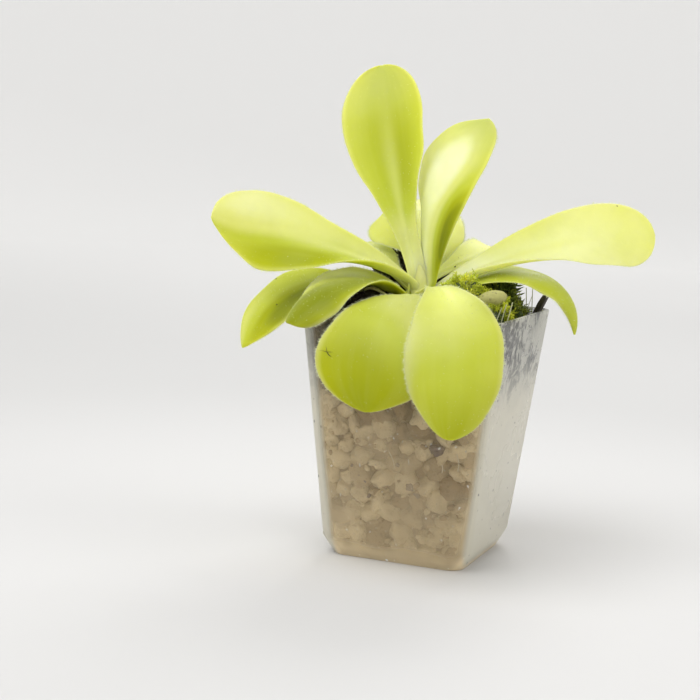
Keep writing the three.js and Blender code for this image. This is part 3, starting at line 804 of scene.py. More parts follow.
def tube(path, radii, sides=3):
    """A closed tube along a path that ends in a point, as points and faces."""
    path = np.asarray(path, float)
    along = unit(np.gradient(path, axis=0))
    first = unit(LOOKS_ACROSS - along * (along @ LOOKS_ACROSS)[:, None])
    second = np.cross(along, first)
    angles = np.arange(sides) / sides * 2 * np.pi
    rings = len(path) - 1
    radii = np.asarray(radii, float)[:rings, None, None]
    turned = first[:rings, None] * np.cos(angles)[:, None]
    turned = turned + second[:rings, None] * np.sin(angles)[:, None]
    points = np.vstack([(path[:rings, None] + turned * radii).reshape(-1, 3), path[-1]])
    faces = [tuple(range(sides - 1, -1, -1))]
    for ring in range(rings - 1):
        low = ring * sides
        for k in range(sides):
            after = (k + 1) % sides
            faces.append((low + k, low + after, low + sides + after, low + sides + k))
    low = (rings - 1) * sides
    faces += [(low + k, low + (k + 1) % sides, rings * sides) for k in range(sides)]
    return points, faces


# %% A heap of copies
class Heap:
    """Gathers copies of small shapes into one mesh, with a tone for each copy."""

    def __init__(self):
        self.points, self.faces, self.tones, self.count = [], [], [], 0

    def add(self, points, faces, tone=0.5):
        start = self.count
        self.points.append(points)
        self.faces += [tuple(start + index for index in face) for face in faces]
        self.tones.append(np.full(len(points), tone))
        self.count += len(points)

    def make(self, smooth=True):
        mesh = bpy.data.meshes.new("heap")
        mesh.from_pydata(np.vstack(self.points) * MM, [], self.faces)
        piece = bpy.data.objects.new("heap", mesh)
        bpy.context.scene.collection.objects.link(piece)
        number_points(piece, "tone", np.concatenate(self.tones))
        select_only(piece)
        if smooth:
            bpy.ops.object.shade_smooth()
        return piece


def random_turn(dice):
    """A random rotation, as a matrix for rows of points."""
    axis = Vector((dice.gauss(0, 1), dice.gauss(0, 1), dice.gauss(0, 1)))
    return np.array(Matrix.Rotation(dice.uniform(0, 2 * math.pi), 3, axis))


# %% [markdown]
# ## The crown
# The stalks clasp a short stem, of which little shows. It is a round tube with a domed top that
# leans back a little.

# %% The stem: its height and radius from the foot up
STEM = [(66.5, 3.2), (68, 3.6), (72, 3.5), (76, 3.2), (79.5, 2.7), (82, 1.9), (83.3, 0.9), (83.6, 0)]
STEM_FOOT = (-2.0, -1.6, 66)
STEM_LEAN = 0.12
STEM_SIDES = 20

stem_path = [(STEM_FOOT[0], STEM_FOOT[1] + STEM_LEAN * (z - STEM_FOOT[2]), z) for z, _ in STEM]
crown = Heap()
crown.add(*tube(stem_path, [radius for _, radius in STEM], STEM_SIDES))

crown_flesh, wires, skin = new_material("crown_flesh")
place = wires.place()
patches = blotches_in(wires, place, 180.0)
skin_colour = wires.blend(patches, (0.66, 0.68, 0.22, 1), (0.72, 0.72, 0.30, 1))
wires.join(skin_colour, skin.inputs["Base Color"])
skin.inputs["Roughness"].default_value = 0.42
skin.inputs["Subsurface Weight"].default_value = 0.6
skin.inputs["Subsurface Radius"].default_value = (1.0, 0.95, 0.4)
skin.inputs["Subsurface Scale"].default_value = 1.5 * MM
finish_piece(crown.make(), "crown_stem", crown_flesh, "petiole", "crown")


# %% [markdown]
# ## The pot
# The pot is moulded in one piece: a square with round corners that narrows to its foot, with a
# plain rim and four drain holes. Its plastic is clear but dull, like milk glass: from the front
# the stones show through a haze, and at a slant the haze hides them. A square with its corners
# bevelled is drawn up in steps, given a wall and cut through.

# %% The pot's outline
POT = {
    "top": 55, "foot": 41, "height": 67, "wall": 1.0, "top_corner": 5, "foot_corner": 4.5,
    "foot_inset": 2, "foot_rise": 5, "drain_radius": 2.5, "drain_offset": 12,
}
# The square that is drawn up reaches from -1 to 1, and its corners begin at CORE.
CORE = 0.65
CORNER_STEPS = 8
RIM_ROUNDING = 0.3


def pot_half_width(z):
    taper = (POT["top"] - POT["foot"]) / 2 * (1 - z / POT["height"])
    return POT["top"] / 2 - taper - POT["foot_inset"] * np.clip(1 - z / POT["foot_rise"], 0, 1)


def pot_corner(z):
    return POT["foot_corner"] + (POT["top_corner"] - POT["foot_corner"]) * z / POT["height"]


# %% Model the pot
clear_selection()
bpy.ops.mesh.primitive_plane_add(size=2 * MM)
pot = bpy.context.object
bpy.ops.object.mode_set(mode="EDIT")
bpy.ops.mesh.select_all(action="SELECT")
bpy.ops.mesh.bevel(offset=(1 - CORE) * MM, segments=CORNER_STEPS, affect="VERTICES")
for step in range(2):
    bpy.ops.mesh.extrude_region_move(TRANSFORM_OT_translate={"value": (0, 0, MM)})
bpy.ops.mesh.delete(type="ONLY_FACE")
bpy.ops.mesh.select_all(action="SELECT")
bpy.ops.mesh.normals_make_consistent(inside=False)
bpy.ops.object.mode_set(mode="OBJECT")
points = points_of(pot)
levels = np.array([0, POT["foot_rise"], POT["height"]])[np.round(points[:, 2]).astype(int)]
middle = np.clip(points[:, :2], -CORE, CORE)
away = unit(points[:, :2] - middle)
corner = pot_corner(levels)[:, None]
straight = pot_half_width(levels)[:, None] - corner
put_points(pot, np.hstack([middle / CORE * straight + away * corner, levels[:, None]]))
apply_modifier(pot, "SOLIDIFY", thickness=POT["wall"] * MM, offset=-1.0, use_even_offset=True)
apply_modifier(
    pot, "BEVEL", width=RIM_ROUNDING * MM, segments=3, limit_method="ANGLE",
    angle_limit=math.radians(50),
)

# %% Drill the drain holes
DRILL_SIDES = 32
DRILL_LENGTH = 8

clear_selection()
drills = []
for x in (-1, 1):
    for y in (-1, 1):
        place = (x * POT["drain_offset"] * MM, y * POT["drain_offset"] * MM, 0)
        bpy.ops.mesh.primitive_cylinder_add(
            vertices=DRILL_SIDES, radius=POT["drain_radius"] * MM, depth=DRILL_LENGTH * MM, location=place
        )
        drills.append(bpy.context.object)
for drill in drills:
    drill.select_set(True)
bpy.ops.object.join()
drill = bpy.context.object
apply_modifier(pot, "BOOLEAN", operation="DIFFERENCE", object=drill, solver="EXACT")
bpy.data.objects.remove(drill)
select_only(pot)
bpy.ops.object.shade_smooth_by_angle(angle=math.radians(35))

# %% [markdown]
# ## The pot's plastic
# The plastic is scratched and stained. Wet peat has left dark smears on the inside, in clumps
# that end where the pumice begins, and small dots stick to the side walls. On the front, small
# white spots are painted glints of drops. Glass with a blurry inside would be slow and grainy,
# so the haze is the material's alpha instead: low where one looks straight at a wall, high at a slant.

# %% Which wall, and how high
# A wall's band begins and ends so many millimetres from the pot's middle, with the taper taken
# off. The peat shows from one height to the other, on a line that swings up and down.
WALL_SLOPE = round((POT["top"] - POT["foot"]) / 2 / POT["height"], 4)
RIGHT_WALL = (18.2, 19.6)
LEFT_WALL = BACK_WALL = (15.6, 17.2)
PEAT_SHOWS = (47.0, 63.0)
PEAT_LINE_SWINGS = 14.0

plastic, wires, skin = new_material("milky_plastic")
place = wires.place()
split = wires.add("ShaderNodeSeparateXYZ")
wires.join(place, split.inputs[0])
height_mm = wires.math("DIVIDE", split.outputs["Z"], MM)
slope = wires.math("MULTIPLY", height_mm, WALL_SLOPE)
right = wires.math("SUBTRACT", wires.math("DIVIDE", split.outputs["X"], MM), slope)
left = wires.math("SUBTRACT", wires.math("DIVIDE", split.outputs["X"], -MM), slope)
back = wires.math("SUBTRACT", wires.math("DIVIDE", split.outputs["Y"], MM), slope)
on_left = wires.ramp(left, *LEFT_WALL)
on_side = wires.math("ADD", wires.ramp(right, *RIGHT_WALL), on_left)
off_side = wires.math("SUBTRACT", 1.0, on_side)
clouds = wires.noise(place, 60.0, detail=2.0)
swing = wires.math("MULTIPLY", clouds, PEAT_LINE_SWINGS)
in_peat = wires.ramp(wires.math("ADD", height_mm, swing), *PEAT_SHOWS)

# %% Smears, dots and painted glints of drops, all as noise in lumps per metre
tall = wires.add("ShaderNodeMapping")
tall.inputs["Scale"].default_value = (1, 1, 0.75)
wires.join(place, tall.inputs["Vector"])
streaks = wires.noise(tall.outputs["Vector"], 105.0, detail=5.0, roughness=0.6, distortion=1.8)
grime = wires.noise(tall.outputs["Vector"], 120.0, detail=5.0, roughness=0.66, distortion=1.0)
clumps = wires.noise(place, 72.0, detail=2.0)
breaks = wires.noise(place, 340.0, detail=3.0, roughness=0.6)
line_width = wires.ramp(clumps, 0.38, 0.54, 0.003, 0.12)
from_line = wires.math("ABSOLUTE", wires.math("SUBTRACT", streaks, 0.5))
smear = wires.ramp(from_line, line_width, wires.math("MULTIPLY", line_width, 0.3))
in_clump = wires.ramp(clumps, 0.34, 0.5)
grime = wires.math("MULTIPLY", in_clump, wires.ramp(grime, 0.46, 0.6, 0.0, 0.85))
smear = wires.math("MAXIMUM", smear, grime)
smear = wires.math("MULTIPLY", smear, in_peat)
smear = wires.math("MULTIPLY", smear, wires.ramp(breaks, 0.32, 0.5))
smear = wires.math("MULTIPLY", smear, wires.ramp(on_left, 0.0, 1.0, 1.0, 0.35))
dots = wires.math("MULTIPLY", wires.ramp(wires.noise(place, 640.0, detail=0.0), 0.79, 0.83), on_side)
smear = wires.math("MAXIMUM", smear, wires.math("MULTIPLY", dots, 0.8))
# Painted glints: white, more opaque spots on the front stand for light caught by drops.
painted_glints = wires.noise(tall.outputs["Vector"], 1100.0, detail=0.0)
painted_glints = wires.math("MULTIPLY", wires.ramp(painted_glints, 0.79, 0.86), off_side)

# %% The haze
MOST_HAZE = 0.96

slant = wires.add("ShaderNodeLayerWeight")
slant.inputs["Blend"].default_value = 0.5
haze = wires.ramp(slant.outputs["Facing"], 0.12, 0.5, 0.12, 0.9)
haze = wires.math("ADD", haze, wires.math("MULTIPLY", wires.ramp(clouds, 0.4, 0.65), 0.14))
clear_top = wires.math("MULTIPLY", in_peat, off_side)
haze = wires.math("MULTIPLY", haze, wires.ramp(clear_top, 0.0, 1.0, 1.0, 0.45))
haze = wires.math("ADD", haze, wires.math("MULTIPLY", smear, 0.4))
haze = wires.math("ADD", haze, wires.math("MULTIPLY", painted_glints, 0.35))
wires.join(wires.math("MINIMUM", haze, MOST_HAZE), skin.inputs["Alpha"])

# %% The milk, tinted by what lies behind it
MILK_BY_PUMICE = (0.84, 0.69, 0.44, 1)
WALL_BELOW, WALL_BY_PEAT = (0.63, 0.60, 0.49, 1), (0.50, 0.49, 0.43, 1)
SMEAR_BLACK = (0.05, 0.05, 0.045, 1)
PAINTED_GLINT_WHITE = (0.95, 0.95, 0.92, 1)

wall_white = wires.blend(in_peat, WALL_BELOW, WALL_BY_PEAT)
off_front = wires.math("MAXIMUM", on_side, wires.ramp(back, *BACK_WALL, 0.0, 0.6))
milk = wires.blend(off_front, MILK_BY_PUMICE, wall_white)
milk = wires.blend(wires.math("MULTIPLY", smear, 0.95), milk, SMEAR_BLACK)
milk = wires.blend(painted_glints, milk, PAINTED_GLINT_WHITE)
wires.join(milk, skin.inputs["Base Color"])
wires.join(wires.ramp(clouds, 0.3, 0.7, 0.25, 0.4), skin.inputs["Roughness"])
wires.join(wires.bump(streaks, 0.04, 0.2), skin.inputs["Normal"])
skin.inputs["IOR"].default_value = 1.49
finish_piece(pot, "pot_shell", plastic, "pot_plastic", "pot")


# %% [markdown]
# ## The pumice
# The lower two thirds of the pot hold lumps of pumice, 4 to 9 mm across, pressed against the
# wall, with grit between them. A few lumps are modelled from balls of triangles. Each copy is
# turned, sized and pushed back where it would stick through the wall. Behind them lies one
# rough core, because nobody sees the lumps in the middle. A rigid body simulation could drop
# them in, but rows along the wall, shifted by chance, put lumps where they are seen.

# %% Lumps: balls made uneven
def lump_shape(seed, detail, squash, unevenness):
    clear_selection()
    bpy.ops.mesh.primitive_ico_sphere_add(subdivisions=detail, radius=MM)
    ball = bpy.context.object
    points = points_of(ball)
    swell = 1 + unevenness * smooth_noise(points, 0.8, seed)
    swell = swell + unevenness * 0.5 * smooth_noise(points, 0.35, seed + 9)
    faces = [tuple(face.vertices) for face in ball.data.polygons]
    bpy.data.objects.remove(ball)
    return points * swell[:, None] * squash, faces


def keep_inside(points, gap_mm, softness=0.35):
    """Pushes points back from the pot's inner wall, gently, so that no flat is left."""
    z = np.maximum(points[:, 2], POT["wall"] + gap_mm)
    corner = pot_corner(z) - POT["wall"] - gap_mm
    straight = pot_half_width(z) - POT["wall"] - gap_mm - corner
    middle = np.clip(points[:, :2], -straight[:, None], straight[:, None])
    away = points[:, :2] - middle
    length = np.maximum(np.linalg.norm(away, axis=1), 1e-9)
    over = np.maximum(length - corner + softness, 0)
    kept = np.where(over > 0, corner - softness * np.exp(-over / softness), length)
    return np.column_stack([middle + away * (kept / length)[:, None], z])


# %% Pile the lumps against the wall
PUMICE_TOP = 46
FIRST_ROW, ROW_STEP, ROW_SHIFT = 3.6, 4.7, 2.6
LUMP_SQUASHES = [(1, 0.8, 0.62), (1, 0.7, 0.7), (1, 0.9, 0.75), (1, 0.62, 0.5), (0.9, 0.9, 0.7)]
LUMP_SIZES = (2.4, 2.9, 3.3, 3.8, 4.3)
LUMP_SPACING = 1.42
OFF_WALL = 1.2
CLEAR_OF_WALL = 0.12
WALL_TURNS = [np.array(Matrix.Rotation(k * math.pi / 2, 3, "Z")).T for k in range(4)]

dice = random.Random(11)
lumps = [lump_shape(seed, 3, squash, 0.42) for seed, squash in enumerate(LUMP_SQUASHES)]
pumice = Heap()
for turn in WALL_TURNS:
    row = 0
    z = FIRST_ROW
    while z < PUMICE_TOP - 1:
        half = float(pot_half_width(z)) - 3.0
        x = -half + dice.uniform(0, 3) + (row % 2) * ROW_SHIFT
        while x < half:
            size = dice.choice(LUMP_SIZES)
            shape, faces = dice.choice(lumps)
            points = shape @ random_turn(dice) * size
            depth = float(pot_half_width(z)) - OFF_WALL - size * dice.uniform(0.66, 0.9)
            points = points + (x, -depth, z + dice.uniform(-1.2, 1.2))
            pumice.add(keep_inside(points @ turn, CLEAR_OF_WALL), faces, dice.uniform(0, 1))
            x += size * LUMP_SPACING + dice.uniform(0, 0.8)
        z += ROW_STEP
        row += 1
print("lumps:", len(pumice.points))

# %% Grit between the lumps
GRIT_COUNT = 520
GRIT_SIZE = (0.5, 1.3)
GRIT_TONES = (0, 0.1, 0.3, 0.9)

grits = [lump_shape(20 + seed, 2, (1, 0.8, 0.7), 0.4) for seed in range(3)]
for _ in range(GRIT_COUNT):
    turn = dice.choice(WALL_TURNS)
    z = dice.uniform(2, PUMICE_TOP + 2)
    half = float(pot_half_width(z))
    size = dice.uniform(*GRIT_SIZE)
    shape, faces = dice.choice(grits)
    points = shape @ random_turn(dice) * size
    points = points + (dice.uniform(-half, half), -half + 1.3 + size * dice.uniform(0.6, 2.2), z)
    pumice.add(keep_inside(points @ turn, CLEAR_OF_WALL), faces, dice.choice(GRIT_TONES))

# %% A few dark stones at the front wall, and the core behind the lumps
# A stone's place is along the wall and up.
DARK_STONES = [
    ((11.3, 32.4), 2.1), ((-9.5, 22.8), 0.9), ((-8.2, 21.6), 0.6), ((-7.0, 17.8), 0.8),
    ((0.8, 27.2), 0.7), ((4.3, 21.6), 1.3), ((6.4, 19.6), 1.0), ((-12.0, 25.5), 0.5),
]
DARK_TONE = -1.0
CORE_FOOT = 2.2
CORE_BEHIND_WALL = 4.6

for (x, z), size in DARK_STONES:
    shape, faces = dice.choice(lumps)
    points = shape @ random_turn(dice) * size
    points = points + (x, -float(pot_half_width(z)) + OFF_WALL + size * 0.5, z)
    pumice.add(keep_inside(points, 0.1), faces, DARK_TONE)

core_points, core_faces = lump_shape(40, 5, (1, 1, 1), 0.0)
reach = np.abs(core_points).max(axis=1, keepdims=True)
core_points = core_points / reach
z = CORE_FOOT + (core_points[:, 2] + 1) / 2 * (PUMICE_TOP - CORE_FOOT)
rough = 1 + 0.05 * smooth_noise(core_points, 0.12, 4)
half = (pot_half_width(z) - CORE_BEHIND_WALL) * rough
core_points = np.column_stack([core_points[:, 0] * half, core_points[:, 1] * half, z])
pumice.add(core_points, core_faces, 0.0)
pumice_piece = pumice.make()

# %% The pumice's finish
stone_stuff, wires, skin = new_material("pumice_stuff")
place = wires.place()
tone = wires.number("tone")
patches = blotches_in(wires, place, 160.0)
fine = grain_in(wires, place, 1400.0)
colour = wires.blend(wires.ramp(tone, 0.0, 0.55), (0.36, 0.25, 0.13, 1), (1.0, 0.88, 0.60, 1))
colour = wires.blend(wires.math("MULTIPLY", patches, 0.3), colour, (0.55, 0.39, 0.20, 1))
# Painted shade: darker in the pits of the grain.
shade = wires.ramp(fine["Pits"], 0.1, 0.6, 0.28, 0.0)
colour = wires.blend(shade, colour, (0.22, 0.16, 0.10, 1))
colour = wires.blend(wires.ramp(tone, 0.0, -1.0), colour, (0.15, 0.11, 0.14, 1))
wires.join(colour, skin.inputs["Base Color"])
skin.inputs["Roughness"].default_value = 0.9
height = wires.math("ADD", fine["Grain"], fine["Pits"])
wires.join(wires.bump(height, 0.15), skin.inputs["Normal"])
finish_piece(pumice_piece, "pumice_lumps", stone_stuff, "pumice", "pumice_bed")


# %% [markdown]
# ## The peat
# Damp peat fills the top third and is heaped up under the plant: nearly black, crumbly, with
# fibres. Its surface is a fine grid, laid over the mound's shape and roughened, with its edge
# drawn down inside the wall. Crumbs are scattered on top.

# %% The mound
SOIL = {"at_wall": 62, "crown_rise": 5.8, "ripple": 0.35, "floor": 45.5}


def soil_height(x, y):
    edge = pot_half_width(SOIL["at_wall"]) - POT["wall"]
    reach = np.minimum(np.maximum(abs(x), abs(y)) / edge, 1)
    ripple = np.sin(0.55 * x + 1) * np.cos(0.5 * y) * (1 - reach)
    return SOIL["at_wall"] + SOIL["crown_rise"] * (1 - reach**2) ** 0.8 + SOIL["ripple"] * ripple


# %% A grid with its edge drawn down
GRID_STEPS = 90
SIDE_STEPS = 8

clear_selection()
bpy.ops.mesh.primitive_grid_add(x_subdivisions=GRID_STEPS, y_subdivisions=GRID_STEPS, size=2 * MM)
mound = bpy.context.object
bpy.ops.object.mode_set(mode="EDIT")
bpy.ops.mesh.select_all(action="SELECT")
for step in range(SIDE_STEPS):
    bpy.ops.mesh.extrude_region_move(TRANSFORM_OT_translate={"value": (0, 0, -MM)})
bpy.ops.mesh.select_all(action="SELECT")
bpy.ops.mesh.normals_make_consistent(inside=False)
bpy.ops.object.mode_set(mode="OBJECT")
print("mound points:", len(mound.data.vertices))

# %% Lay the grid over the mound and down the wall
OFF_POT = 0.15
CRUMBLE_HIGH, CRUMBLE_LOW = 0.55, 0.35
WALL_UNEVENNESS = 0.02

points = points_of(mound)
step = np.round(-points[:, 2])
reach = np.maximum(np.abs(points[:, :2]).max(axis=1), 1e-6)
z = SOIL["at_wall"] + (SOIL["floor"] - SOIL["at_wall"]) * step / SIDE_STEPS
half = pot_half_width(z) - POT["wall"] - OFF_POT
corner = pot_corner(z) - POT["wall"] - OFF_POT
edge = points[:, :2] / reach[:, None]
middle = np.clip(edge * half[:, None], -(half - corner)[:, None], (half - corner)[:, None])
away = unit(edge * half[:, None] - middle)
flat = (middle + away * corner[:, None]) * reach[:, None]
inside = step == 0
z = np.where(inside, soil_height(flat[:, 0], flat[:, 1]), z)
soil = np.column_stack([flat, z])
crumble = CRUMBLE_HIGH * smooth_noise(soil, 2.6, 1) + CRUMBLE_LOW * smooth_noise(soil, 1.1, 2)
soil[:, 2] += crumble * np.where(inside, 1, 0)
dents = np.abs(smooth_noise(soil, 2.2, 3)) * WALL_UNEVENNESS
rough_wall = np.where(inside | (step == SIDE_STEPS), 0, dents)
soil[:, :2] *= (1 - rough_wall)[:, None]
put_points(mound, soil)
select_only(mound)
bpy.ops.object.shade_smooth()

# %% Crumbs on the peat
CRUMB_COUNT = 560
CRUMB_SIZES = (0.35, 0.5, 0.6, 0.8, 1.1)
CRUMB_TONES = (0, 0.1, 0.2, 0.3, 0.9)
CRUMBS_REACH = 25.2

crumbs = [lump_shape(60 + seed, 2, (1, 0.75, 0.6), 0.5) for seed in range(4)]
dice = random.Random(5)
litter = Heap()
for _ in range(CRUMB_COUNT):
    x, y = dice.uniform(-CRUMBS_REACH, CRUMBS_REACH), dice.uniform(-CRUMBS_REACH, CRUMBS_REACH)
    size = dice.choice(CRUMB_SIZES)
    shape, faces = dice.choice(crumbs)
    points = shape @ random_turn(dice) * size + (x, y, soil_height(x, y) + size * 0.3)
    litter.add(keep_inside(points, 0.2), faces, dice.choice(CRUMB_TONES))

# %% Threads of old roots and leaves, each an arc on the ground
THREAD_COUNT = 70
THREAD_REACH = 24
THREAD_LENGTHS = (2, 6)
THREAD_RADII = [0.1, 0.14, 0.12, 0.1, 0]
THREADS_END = 25.4

for _ in range(THREAD_COUNT):
    x, y = dice.uniform(-THREAD_REACH, THREAD_REACH), dice.uniform(-THREAD_REACH, THREAD_REACH)
    angle = dice.uniform(0, 2 * math.pi)
    length = dice.uniform(*THREAD_LENGTHS)
    steps = np.linspace(-0.5, 0.5, len(THREAD_RADII))
    bend = dice.uniform(-1, 1)
    px = x + math.cos(angle) * steps * length - math.sin(angle) * bend * steps**2 * length
    py = y + math.sin(angle) * steps * length + math.cos(angle) * bend * steps**2 * length
    px, py = np.clip(px, -THREADS_END, THREADS_END), np.clip(py, -THREADS_END, THREADS_END)
    pz = soil_height(px, py) + 0.5 + 0.4 * np.cos(steps * 3)
    thread = tube(np.column_stack([px, py, pz]), THREAD_RADII)
    litter.add(*thread, tone=dice.choice((0.4, 1.0)))
crumb_piece = litter.make()

# %% The peat's finish
PEAT_BLACK, PEAT_BROWN = (0.012, 0.009, 0.006, 1), (0.075, 0.05, 0.03, 1)
DRY_FIBRE = (0.25, 0.17, 0.09, 1)

peat, wires, skin = new_material("damp_peat")
place = wires.place()
patches = blotches_in(wires, place, 350.0)
fine = grain_in(wires, place, 1600.0)
colour = wires.blend(wires.math("MULTIPLY", patches, fine["Grain"]), PEAT_BLACK, PEAT_BROWN)
colour = wires.blend(wires.ramp(wires.number("tone"), 0.3, 1.0, 0.0, 0.8), colour, DRY_FIBRE)
wires.join(colour, skin.inputs["Base Color"])
skin.inputs["Roughness"].default_value = 0.75
wires.join(wires.bump(fine["Grain"], 0.5), skin.inputs["Normal"])
number_points(mound, "tone", np.zeros(len(mound.data.vertices)))
finish_piece(mound, "peat_heap", peat, "peat", "peat_mound")
finish_piece(crumb_piece, "peat_crumbs", peat, "peat")


# %% [markdown]
# ## The moss
# Cushions of moss grow on the peat. Each is a crowd of little shoots: a thin stem with leaves
# that stand out all round. Three shoots are modelled from tubes that end in a point, and then
# planted hundreds of times on the CAD cushions, which stay as the inside, in the same green. A
# particle system could plant them too, but here each shoot can be kept low under a leaf.

# %% A moss shoot
GOLDEN_TURN = 2.4
SHOOT_RADII = [0.05, 0.045, 0.03, 0]
SHOOT_LEAF_RADII = [0.05, 0.06, 0]


def moss_shoot(leaf_count, leaf_length, lean):
    """A shoot 1 mm tall, as a list of tubes: the stem and then its leaves, turn by turn."""
    heights = np.linspace(0, 1, 4)
    path = np.column_stack([lean * heights**2, 0.3 * lean * heights, heights])
    parts = [tube(path, SHOOT_RADII)]
    for k in range(leaf_count):
        h = 0.2 + 0.75 * k / (leaf_count - 1)
        angle = k * GOLDEN_TURN
        foot = np.array((lean * h * h, 0.3 * lean * h, h))
        out = np.array((math.cos(angle), math.sin(angle), 0.9))
        length = leaf_length * (1.15 - 0.5 * h)
        middle_point = foot + out * length * 0.5
        end = foot + out * length + np.array((0, 0, 0.15 * length))
        parts.append(tube([foot, middle_point, end], SHOOT_LEAF_RADII))
    return parts


def plant(heap, parts, place, size, turn, tone):
    for points, faces in parts:
        heap.add(points @ turn.T * size + place, faces, tone)


def spots_on(node, count, dice, least_up=-0.1):
    """Random spots on a CAD node's upper faces, with their normals, in millimetres."""
    mesh = bpy.data.objects[node].data
    faces = [face for face in mesh.polygons if face.normal.z > least_up]
    areas = [face.area for face in faces]
    spots = []
    for face in dice.choices(faces, areas, k=count):
        a, b, c = (mesh.vertices[index].co / MM for index in face.vertices[:3])
        u, v = dice.random(), dice.random()
        if u + v > 1:
            u, v = 1 - u, 1 - v
        spots.append((np.array(a + (b - a) * u + (c - a) * v), np.array(face.normal)))
    return spots


def upright(normal, dice, spread):
    """A rotation that stands a shoot up between the normal and straight up, a little askew."""
    up = Vector(normal) * 0.5 + Vector((0, 0, 0.6))
    up += Vector((dice.gauss(0, spread), dice.gauss(0, spread), 0))
    spin = Matrix.Rotation(dice.uniform(0, 2 * math.pi), 3, "Z")
    return np.array(up.to_track_quat("Z", "Y").to_matrix() @ spin)


# %% How much room there is above a spot
UNDER_LEAF = 1.6
LEAF_GAP = 0.9

shares, places = np.meshgrid(np.linspace(-0.2, 1, 70), np.linspace(-1, 1, 17))
LEAF_POINTS = np.vstack([sheet(leaf, shares.ravel(), places.ravel())[0] for leaf in LEAVES.values()])


def headroom(spot, most):
    """How tall a shoot may be at a spot before it meets a leaf above, in millimetres."""
    away = np.hypot(LEAF_POINTS[:, 0] - spot[0], LEAF_POINTS[:, 1] - spot[1])
    above = LEAF_POINTS[(away < UNDER_LEAF) & (LEAF_POINTS[:, 2] > spot[2]), 2]
    return min(most, above.min() - spot[2] - LEAF_GAP) if len(above) else most


print("leaf points:", len(LEAF_POINTS))


# %% The moss's finish
MOSS_DARK = (0.05, 0.085, 0.008, 1)
MOSS_GREEN, MOSS_YELLOW = (0.66, 0.78, 0.01, 1), (0.98, 1.0, 0.06, 1)

moss_green, wires, skin = new_material("moss_green")
place = wires.place()
patches = blotches_in(wires, place, 260.0)
young = wires.blend(patches, MOSS_GREEN, MOSS_YELLOW)
wires.join(wires.blend(wires.number("tone"), MOSS_DARK, young), skin.inputs["Base Color"])
skin.inputs["Roughness"].default_value = 0.55
skin.inputs["Subsurface Weight"].default_value = 0.2
skin.inputs["Subsurface Radius"].default_value = (0.8, 1.0, 0.2)
skin.inputs["Subsurface Scale"].default_value = 0.4 * MM

# %% Plant the moss
# Each cushion has so many shoots, so tall. The moss stays low in front of the pebble, round a
# spot and above a level, and grows tall and dark behind it.
SHOOTS = [moss_shoot(7, 0.42, 0.3), moss_shoot(8, 0.34, 0.1), moss_shoot(6, 0.5, 0.45)]
MOSS = {
    "moss_right": (520, (1.5, 2.8)),
    "moss_back": (260, (1.4, 2.4)),
    "moss_by_stone": (300, (1.4, 2.6)),
}
STONE = {"place": (19.3, -6.8, 71.4), "size": (8.2, 6.0, 4.6), "turn": 25, "tilt": -14}
STONE_SHOOTS = 60
IN_FRONT_OF_STONE = np.array((20.8, -10.5))
LOW_WITHIN = 5.5
LOW_LEVEL = 68.5
BEHIND_STONE_Y = -5
LOW_BEYOND = 23.2
TALLER, LOWER = 2.2, 0.7


def wear(piece, material):
    """Gives a CAD node that stays visible the finish of what grows on it."""
    for material_slot in piece.material_slots:
        material_slot.material = material


def place_by_stone(dice):
    """A spot at the pebble's edge: higher behind it than in front."""
    angle = dice.uniform(0, 2 * math.pi)
    lift = dice.uniform(-2.4, -0.6) if math.sin(angle) > 0 else dice.uniform(-3.6, -2.6)
    reach = dice.uniform(0.92, 1.15)
    half_length, half_width, _ = np.array(STONE["size"]) / 2
    edge = (half_length * reach * math.cos(angle), (half_width + 0.1) * reach * math.sin(angle), lift)
    return np.array(STONE["place"]) + edge


dice = random.Random(23)
for node, (count, sizes) in MOSS.items():
    tuft = Heap()
    for place, normal in spots_on(node, count, dice):
        bright = dice.uniform(0.5, 1.0) if node == "moss_right" else dice.choice((0.05, 0.2, 0.4, 0.8))
        turn = upright(normal, dice, 0.35)
        shoot_height = dice.uniform(*sizes)
        if node == "moss_by_stone":
            tall = place[1] > BEHIND_STONE_Y and place[0] + 0.4 * place[1] < LOW_BEYOND
            shoot_height *= TALLER if tall else LOWER
            bright *= 0.4 if tall else 1
        size = headroom(place, shoot_height)
        if np.hypot(*(place[:2] - IN_FRONT_OF_STONE)) < LOW_WITHIN:
            size *= 0.5 if place[2] < LOW_LEVEL else 0
            bright *= 0.45
        if size > 0.5:
            plant(tuft, dice.choice(SHOOTS), place - normal * 0.3, size, turn, bright)
    wear(bpy.data.objects[node], moss_green)
    if node == "moss_right":
        for _ in range(STONE_SHOOTS):
            place = place_by_stone(dice)
            turn = upright((0, 0, 1), dice, 0.45)
            plant(tuft, dice.choice(SHOOTS), place, dice.uniform(1.0, 2.2), turn, dice.uniform(0.5, 1.0))
    finish_piece(tuft.make(), node + "_shoots", moss_green, "moss")

# %% [markdown]
# ## The clumps of peat
# Old peat with dead moss is heaped behind the crown and against the left wall. It wears the
# peat's finish, crumbs and the same shoots as the moss, but dark. Near the spot where the
# withered leaf lies, everything stays low, so that the leaf isn't buried.

# %% Dead moss and crumbs on the clumps of peat
CLUMPS = {"peat_clump": 420, "peat_clump_left": 260}
WITHERED_LEAF_LIES = np.array((-12.0, -12.0))
LEAF_KEEPS_CLEAR = 5

